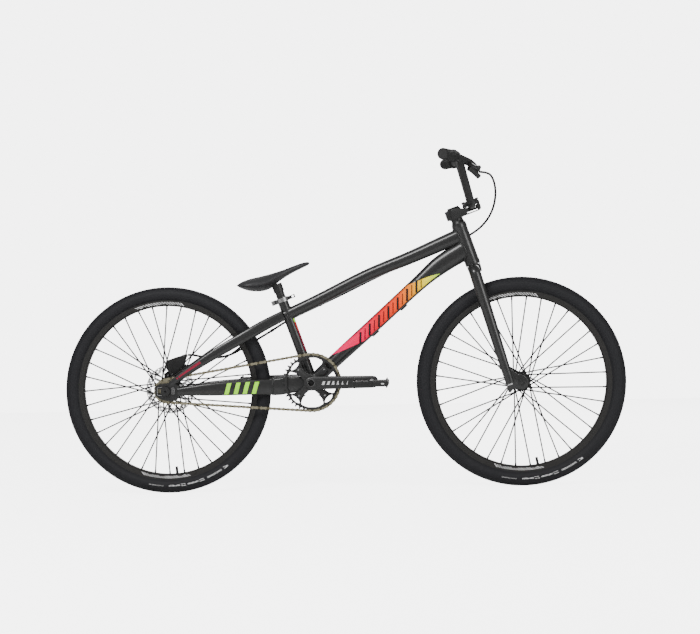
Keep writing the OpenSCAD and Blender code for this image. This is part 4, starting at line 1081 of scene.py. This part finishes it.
def build_tensioners():
    """Black chain tugs with thin bare edges round the axle slot and three grooves in front."""
    for side, label in SIDES:
        def plate(x0, x1, z0, z1, y0=0.0, y1=2.4):
            ys = sorted([side * (DROPOUT_OUT + y0), side * (DROPOUT_OUT + y1)])
            outline = [(x0, z0), (x1, z0), (x1, z1), (x0, z1)]
            return slab([REAR_AXLE + Vector((x, 0, z)) * MM for x, z in outline], *ys)

        near = REAR_AXLE + Vector((0, side * DROPOUT_OUT, 0)) * MM
        far = REAR_AXLE + Vector((0, side * (DROPOUT_OUT + 2.5), 0)) * MM
        ring = ring_bar(near, far, 13.5, 6.2, 40, 0.5)
        black = [plate(-23, -10, 9, 12), plate(-23, -10, -12, -9), plate(12, 27, -12, 12, 0, 1.6), ring]
        piece(f"{label}_tug_body", *joined(black), "frame", SATIN_BLACK, "silver_alloy",
              ["chain_tensioners"] if side < 0 else [], 30)
        bright = [
            plate(-24, -11, 10.4, 12, 0, 2.6), plate(-24, -11, -12, -10.4, 0, 2.6),
            plate(-24, -22.6, -12, 12, 0, 2.6), plate(17.5, 18.7, -10, 10, 1.6, 2.2),
            plate(21, 22.2, -10, 10, 1.6, 2.2), plate(24.5, 25.7, -8, 8, 1.6, 2.2),
            plate(18, 25, 9.2, 10.4, 1.6, 2.2)
        ]
        piece(f"{label}_tug_edges", *joined(bright), "frame", SILVER, "silver_alloy")


# ---------------------------------------------------------------- saddle

SADDLE = [
    (208, 591, 5, 60), (222, 591, 20, 112), (246, 591, 34, 130), (277, 593.5, 41, 120), (304, 601, 39, 88),
    (332, 616, 26, 54), (361, 630, 19, 40), (390, 642, 15, 32), (408, 648, 10.5, 24), (415, 649.5, 5, 13)
]


def build_saddle():
    """A hollow-sided moulded seat: crowned top, waisted flanks and a thin turned-down edge."""
    rows = smooth_path([Vector((x, z, h, w)) for x, z, h, w in SADDLE], 5)
    rings = []
    for x, z, h, w in rows:
        ring = []
        for side, height in section(w, h, 0.9, 44):
            crown = 0.06 * h * (1 - (2 * side / w) ** 2)
            tuck = 1.0 if height > 0 else 1 - 0.45 * (-2 * height / h) ** 1.5
            ring.append(at(x, side * tuck, z + height + (crown if height > 0 else 0)))
        rings.append(ring)
    piece("saddle_shell", *skin(rings), "seat", SEAT_PLASTIC, "seat_plastic", ["saddle"], 50)


# ---------------------------------------------------------------- fork and front end

def build_fork():
    top = [
        (-3, 0, 346), (-3, 24, 347), (-3, 44, 340), (-4, 50, 316), (-8, 52.5, 210), (-13, 55, 90),
        (-16, 56, 8)
    ]
    radii = [15, 15.5, 16.5, 15.5, 13.2, 11, 9.2]
    for side, label in SIDES:
        path = smooth_path([steer_at(n, side * y, s) for n, y, s in top], 8)
        sizes = smooth_path(radii, 8)

        def size(t):
            return sizes[min(int(round(t * (len(sizes) - 1))), len(sizes) - 1)]

        rings = pipe_rings(path, size, 36)
        last = len(rings) - 1
        for i, ring in enumerate(rings):
            grow = between([(0.0, 0.0), (0.4, 0.0), (1.0, 0.38)], i / last)
            rings[i] = [v + grow * (v - path[i]).dot(STEER_AHEAD) * STEER_AHEAD for v in ring]
        piece(f"fork_leg_{label}", *skin(rings), "fork", GLOSS_BLACK, "frame_paint",
              ["fork_legs"] if side < 0 else ["fork_crown"], 60)
        outline = [(-29, -14), (-24, -17), (-17, -12), (-8, -11), (3, -17), (15, -20.5), (27, -17), (34, -8),
                   (35.5, 2), (32, 12), (24, 19), (12, 27), (-4, 48), (-26, 44)]
        places = [steer_at(n, 0, s) for n, s in outline]
        y0, y1 = sorted([side * 50.5, side * 60])
        made = piece(f"fork_end_{label}", *slab(places, y0, y1), "fork", GLOSS_BLACK, "frame_paint",
                     ["fork_dropouts"] if side < 0 else [])
        bevel(made, 2.5, 3)
    rings = [[steer_at(r * math.cos(a), r * math.sin(a), s) for a in turns(40)]
             for s, r in [(334, 18), (350, 20), (357, 19.5), (357, 14.2), (519, 14.2)]]
    piece("fork_crown_skin", *skin(rings), "fork", GLOSS_BLACK, "frame_paint")
    mark_y = -60.35
    bars = []
    for s in (4, 14, 24):
        corners = [steer_at(n, mark_y, level) for n, level in [(-24, s), (-10, s), (-10, s + 4), (-24, s + 4)]]
        bars.append((corners, [(0, 1, 2, 3)]))
    verts, faces = joined(bars)
    piece("fork_print", verts, faces, "fork", PRINT_WHITE, "frame_paint")


STEM_REACH = 52
BAR_S = 518
BAR_R = 11.1
BAR_HALF = 362
BAR_TOP = at(848, -172, 934.5)
BAR_END = at(806.5, -BAR_HALF, 936)
BAR_LOW = steer_at(STEM_REACH, 0, BAR_S)
BAR_LOW_BEND = BAR_LOW + Vector((0, -62, 2)) * MM
GRIP_LEN = 130


def build_handlebar():
    half = [BAR_LOW + Vector((0, -30, 0)) * MM]
    half += bend(BAR_LOW + Vector((0, -30, 0)) * MM, BAR_LOW_BEND, BAR_TOP, 26 * MM)
    half += bend(BAR_LOW_BEND, BAR_TOP, BAR_END, 34 * MM, 8) + [BAR_END]
    path = [flip(p) for p in reversed(half)] + half
    piece("handlebar_tube", *pipe(path, BAR_R, 28), "fork", SATIN_BLACK, "black_alloy", ["handlebar"], 60)
    mid = BAR_LOW_BEND + 0.58 * (BAR_TOP - BAR_LOW_BEND)
    crossbar = across(mid, mid.y / MM, -mid.y / MM, 8)
    piece("crossbar_tube", *crossbar, "fork", SATIN_BLACK, "black_alloy", ["crossbar"])
    inward = (BAR_TOP - BAR_END).normalized()
    for side, label in SIDES:
        end = BAR_END if side < 0 else flip(BAR_END)
        along = inward if side < 0 else flip(inward)
        rings = []
        for i in range(0, 105):
            d = 1.5 + i * 1.14
            r = 15.2 + (0.75 if i % 3 else -0.35)
            rings.append((d, r))
        rings += [(123, 15.6), (124.5, 17.2), (126, 17.7), (128.5, 17.7), (130, 17), (130, 11.2)]
        rings = [(0.0, 11.2), (0.0, 14.8)] + rings
        seed = Vector((0, 0, 1))
        u = along.cross(seed).normalized()
        v = along.cross(u)
        loops = []
        for d, r in rings:
            middle = end + d * MM * along
            loops.append([middle + r * MM * (math.cos(a) * u + math.sin(a) * v) for a in turns(36)])
        piece(f"{label}_grip", *skin(loops, closed=True), "fork", GRIP_RUBBER, "grip_rubber",
              ["grips"] if side < 0 else [], 25)
        plug = round_bar(end - 4 * MM * along, end, 14.2, 14.6, 1.2)
        piece(f"{label}_bar_plug", *plug, "fork", PEDAL_PLASTIC, "pedal_plastic",
              ["bar_plugs"] if side < 0 else [])


def steered_slab(name, outline, half_w, bevel_by, stands_for=()):
    places = [steer_at(n, 0, s) for n, s in outline]
    made = piece(name, *slab(places, -half_w, half_w), "fork", SATIN_BLACK, "black_alloy", stands_for)
    return bevel(made, bevel_by, 3)


def build_stem():
    base = [(-6, 498), (20, 498), (70, 499), (76, 503), (77, 511), (77, 517.5), (64, 517.5), (62, 512),
            (58, 508), (52, 506.6), (46, 508), (42, 512), (40, 517.5), (28, 517.5), (16, 525), (0, 528),
            (-8, 527)]
    slot = [(34, 501.5), (66, 501.5), (66, 504.8), (34, 504.8)]
    body = steered_slab("stem_block", base, 26.5, 2.2, ["stem_body"])
    cutter_mesh = slab([steer_at(n, 0, s) for n, s in slot], -60, 60)
    cutter = piece("stem_cutter", *cutter_mesh, "fork", SATIN_BLACK, "black_alloy")
    cut = body.modifiers.new("slot", "BOOLEAN")
    cut.object = cutter
    cut.solver = "EXACT"
    apply_modifiers(body)
    shade(body, 40)
    bpy.data.objects.remove(cutter)
    cap = [(26.5, 518.6), (40, 518.6), (42.5, 524), (47, 528), (52, 529.4), (57, 528), (61.5, 524),
           (64, 518.6), (77.5, 518.6), (77, 526), (68, 533), (60, 535), (44, 535), (36, 533), (27, 526)]
    steered_slab("stem_top_cap", cap, 26.5, 1.8, ["stem_cap"])
    rings = [[steer_at(r * math.cos(a), r * math.sin(a), s) for a in turns(48)]
             for s, r in [(497, 17), (497, 19.4), (498, 20), (526.5, 20), (528, 18.6), (528, 14)]]
    piece("stem_clamp_ring", *skin(rings), "fork", SATIN_BLACK, "black_alloy")
    steered_slab("stem_pinch", [(-27, 499), (-10, 498), (-10, 527), (-27, 526)], 15, 2.0)


# ---------------------------------------------------------------- lever and hose

LEVER_AXIS = joint_axis("brake_squeeze")
HOSE = [
    (905, -160, 892), (913, -155, 891), (926, -134, 889), (938, -105, 882), (947, -75, 862), (950, -45, 832),
    (944, -15, 798), (930, 14, 768), (908, 32, 742), (880, 38, 722), (850, 35, 708), (820, 28, 697),
    (785, 22.8, 683), (740, 22.2, 663), (690, 21.8, 643), (635, 21.2, 618), (578, 20.8, 592),
    (510, 20.4, 560),
    (443, 20.2, 530), (395, 21, 509), (362, 24, 494), (335, 29, 480), (300, 38, 459), (258, 48, 435),
    (215, 58, 411), (180, 65, 393), (145, 69, 384), (110, 69, 384), (86, 66, 388), (68, 60, 392),
    (52, 55, 393.5)
]


def build_hose():
    path = smooth_path([at(*p) for p in HOSE], 6)
    jacket = pipe(path, 3.3, 14)
    hose = piece("brake_hose_jacket", *jacket, None, HOSE_JACKET, "hose_plastic", ["brake_hose"], 60)
    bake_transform(hose)


def build_lever():
    inward = (BAR_TOP - BAR_END).normalized()
    clamp = BAR_END + (GRIP_LEN + 22) * MM * inward
    band = ring_bar(clamp - 7 * MM * inward, clamp + 7 * MM * inward, 15.6, 11.2, 40, 1.2)
    piece("lever_clamp", *band, "fork", SATIN_BLACK, "lever_alloy", ["lever_perch"])
    path = [
        at(869, -178, 922), at(878, -174, 918), at(888, -170, 910), at(896, -166, 902), at(903, -162, 894)
    ]
    piece("lever_reservoir", *pipe(path, lambda t: 11 - 4.5 * t * t, 28), "fork", SATIN_BLACK, "lever_alloy")
    foot = [at(876, -186, 903), at(886, -180, 896), at(897, -172, 885), at(904, -168, 877)]
    piece("lever_body", *pipe(foot, lambda t: 8.5 - 1.5 * t, 24), "fork", SATIN_BLACK, "lever_alloy")
    neck = pipe([clamp + Vector((6, 0, -1)) * MM, clamp.lerp(LEVER_PIVOT, 0.6) + Vector((4, 2, 3)) * MM,
                 LEVER_PIVOT + Vector((3, 4, 5)) * MM], lambda t: 9.5 - 1.5 * t, 24)
    piece("lever_neck", *neck, "fork", SATIN_BLACK, "lever_alloy")
    half_pin = 9.2 * MM * LEVER_AXIS
    pin = round_bar(LEVER_PIVOT - half_pin, LEVER_PIVOT + half_pin, 3.6, 3.6, 0.6, 20)
    piece("lever_pin", *pin, "fork", BOLT_BLACK, "lever_alloy")
    blade = [LEVER_PIVOT + Vector(p) * MM for p in
             [(2, -3, 1), (4, -14, -1), (7, -32, -4), (11, -60, -8), (17, -88, -12), (24, -109, -14)]]
    path = smooth_path(blade, 6)
    rings = pipe_rings(path, lambda t: 5.4 - 1.2 * math.sin(math.pi * min(t * 1.1, 1)), 20)
    piece("lever_blade", *skin(rings), "brake_lever", SATIN_BLACK, "lever_alloy", ["brake_lever"], 60)
    piece("lever_ball", *ball(blade[-1], 6.2), "brake_lever", SATIN_BLACK, "lever_alloy")


def ball(centre, radius, sides=20):
    rings = []
    for i in range(sides // 2 + 1):
        a = math.pi * (i + 0.02) / (sides / 2 + 0.04)
        level = math.sin(a)
        rings.append([centre + radius * MM * Vector((level * math.cos(w), level * math.sin(w), math.cos(a)))
                      for w in turns(sides)])
    return skin(rings)


# ---------------------------------------------------------------- cranks and pedals

ARM_ANGLES = (45, 135, 225, 315)
RING_BOLT_R = 52


def crank_profile(side):
    """Rings of a crank arm from the spindle out to the pedal eye."""
    direction = 1 if side < 0 else -1
    rows = [
        (-17, 66, 12, 13), (-13, 65, 26, 15), (-4, 64.5, 36, 17), (10, 64.5, 38.5, 17),
        (40, 65.5, 37.5, 14.5), (80, 67.5, 36.5, 13), (120, 70, 35.5, 13), (155, 72.5, 35, 13.5),
        (178, 73, 33.5, 13.5), (186, 73, 26, 13), (190, 73, 12, 12)
    ]
    rings = []
    for x, y, h, w in smooth_path([Vector(r) for r in rows], 4):
        rings.append([BOTTOM_BRACKET + Vector((direction * x, side * (y + b), a)) * MM
                      for a, b in section(h, w, 0.62, 36)])
    return rings


def cut_round(made, centre, y0, y1, radius):
    """Bores a hole across the bike through a piece."""
    cutter = piece("cutter", *across(centre, y0, y1, radius, sides=48), "crank", FORGED_BLACK, "crank_alloy")
    cut = made.modifiers.new("bore", "BOOLEAN")
    cut.object = cutter
    cut.operation = "DIFFERENCE"
    cut.solver = "EXACT"
    apply_modifiers(made)
    shade(made, 40)
    bpy.data.objects.remove(cutter)


def build_cranks():
    for side, label in SIDES:
        arm = piece(f"{label}_crank_arm", *skin(crank_profile(side)), "crank", FORGED_BLACK, "crank_alloy",
                    [f"{label}_crank"], 50)
        cut_round(arm, BOTTOM_BRACKET, side * 40, side * 100, 10.4)
        y0, y1 = sorted([side * 46.5, side * 62])
        near = BOTTOM_BRACKET + Vector((0, y0, 0)) * MM
        far = BOTTOM_BRACKET + Vector((0, y1, 0)) * MM
        hub = ring_bar(near, far, 19.5, 12.1, 40, 0.8)
        piece(f"{label}_crank_boss", *hub, "crank", FORGED_BLACK, "crank_alloy")
    outline = []
    half_arm = [(24, -26), (40, -13), (50, -10.5), (57, -7.5)]
    arm = half_arm + [(59.5, 0)] + [(r, -d) for r, d in reversed(half_arm)]
    for a in ARM_ANGLES:
        for r, d in arm:
            w = math.radians(a + d)
            outline.append(BOTTOM_BRACKET + Vector((r * math.cos(w), 0, r * math.sin(w))) * MM)
    made = piece("spider", *slab(outline, -52, -45.7), "crank", FORGED_BLACK, "crank_alloy")
    bevel(made, 1.2, 2)
    bolts = [wheel_point(BOTTOM_BRACKET, RING_BOLT_R, math.radians(a), 0) for a in ARM_ANGLES]
    dots = [across(p, -52.7, -51.2, 2.6, chamfer=0.4, sides=20) for p in bolts]
    piece("chainring_bolt_sockets", *joined(dots), "crank", STEEL, "black_steel")
    build_crank_print()


def build_crank_print():
    """A row of plain slanted bars along the right arm."""
    low = -6
    high = 4
    lean = 4
    bars = []
    for i in range(6):
        x = 30 + i * 14
        y = crank_face(x)
        corners = [(x, low), (x + 7, low), (x + 7 + lean, high), (x + lean, high)]
        verts = [BOTTOM_BRACKET + Vector((px, y, pz)) * MM for px, pz in corners]
        bars.append((verts, [(0, 1, 2, 3)]))
    piece("crank_print", *joined(bars), "crank", PRINT_WHITE, "crank_alloy")


def crank_face(x):
    """Side offset of the printed face of the right crank arm at a distance from the spindle."""
    rings = crank_profile(-1)
    place = BOTTOM_BRACKET.x + x * MM
    faces = [(ring[0].x, min(v.y for v in ring)) for ring in rings]
    for (x0, y0), (x1, y1) in zip(faces[:-1], faces[1:]):
        if x0 <= place <= x1:
            return (y0 + (y1 - y0) * (place - x0) / (x1 - x0)) / MM - 0.25
    return faces[-1][1] / MM


def build_pedal(label, centre, side):
    """A cage pedal: two long rails, three cross ribs, a hollow axle barrel and grip pins."""
    inner = 86
    outer = 183
    half_l = 49.5
    thick = 17
    near = centre + Vector((0, side * inner, 0)) * MM
    far = centre + Vector((0, side * outer, 0)) * MM
    barrel = ring_bar(near, far, 9.2, 4.7, 36, 0.8)
    piece(f"{label}_pedal_barrel", *barrel, f"{label}_pedal", PEDAL_PLASTIC, "pedal_plastic",
          [f"{label}_pedal"])
    boxes = []
    for end in (-1, 1):
        boxes.append((end * (half_l - 5), (inner + outer) / 2, 0, 10, outer - inner, thick - 2))
        boxes.append((end * 26, (inner + outer) / 2, 0, 6, outer - inner - 8, thick - 7))
    for y in (inner + 4.5, (inner + outer) / 2, outer - 4.5):
        for end in (-1, 1):
            boxes.append((end * 28, y, 0, 40, 8.5, thick - 4))
    for i, (x, y, z, lx, ly, lz) in enumerate(boxes):
        outline = [centre + Vector((x + sx * lx / 2, 0, z + sz * lz / 2)) * MM
                   for sx, sz in [(-1, -1), (1, -1), (1, 1), (-1, 1)]]
        y0, y1 = sorted([side * (y - ly / 2), side * (y + ly / 2)])
        made = piece(f"{label}_pedal_bar_{i}", *slab(outline, y0, y1), f"{label}_pedal", PEDAL_PLASTIC,
                     "pedal_plastic")
        bevel(made, 1.6, 2)
    pins = []
    for end in (-1, 1):
        for i in range(5):
            for up in (-1, 1):
                foot = centre + Vector((end * (half_l - 5), side * (inner + 9.5 + i * 19.5), up * 7)) * MM
                pins.append(round_bar(foot, foot + Vector((0, 0, up * 5.3)) * MM, 1.8, 1.8, 0.4, 12))
    verts, faces = joined(pins)
    piece(f"{label}_pedal_pins", verts, faces, f"{label}_pedal", BOLT_BLACK, "pedal_plastic")
    shape = [(-49, -5), (-46, -8.2), (46, -8.2), (49, -5), (49, 5), (46, 8.2), (-46, 8.2), (-49, 5)]
    end_outline = [centre + Vector((x, 0, z)) * MM for x, z in shape]
    y0, y1 = sorted([side * (outer - 5), side * (outer - 0.4)])
    made = piece(f"{label}_pedal_end", *slab(end_outline, y0, y1), f"{label}_pedal", PEDAL_PLASTIC,
                 "pedal_plastic")
    bevel(made, 1.2, 2)
    face = side * (outer + 0.05)
    mark = []
    for corners in [[(30, -2), (38, -2), (38, 2), (30, 2)]]:
        verts = [centre + Vector((x, face, z)) * MM for x, z in corners]
        mark.append((verts, [(0, 1, 2, 3)]))
    piece(f"{label}_pedal_mark", *joined(mark), f"{label}_pedal", PRINT_WHITE, "pedal_plastic")
    cap = across(centre, side * (outer - 2), side * (outer + 0.4), 7.5, chamfer=0.8)
    piece(f"{label}_pedal_cap", *cap, f"{label}_pedal", PEDAL_PLASTIC, "pedal_plastic")


def build_pedals():
    for side, label in SIDES:
        centre = joint_place(f"{label}_pedal_spin")
        build_pedal(label, centre, side)


# ---------------------------------------------------------------- the whole bike

set_camera()
set_studio()
paint_cad()
build_frame()
build_wheels()
build_saddle()
build_fork()
build_handlebar()
build_stem()
build_hose()
build_lever()
build_cranks()
build_pedals()
build_chain()
build_tensioners()
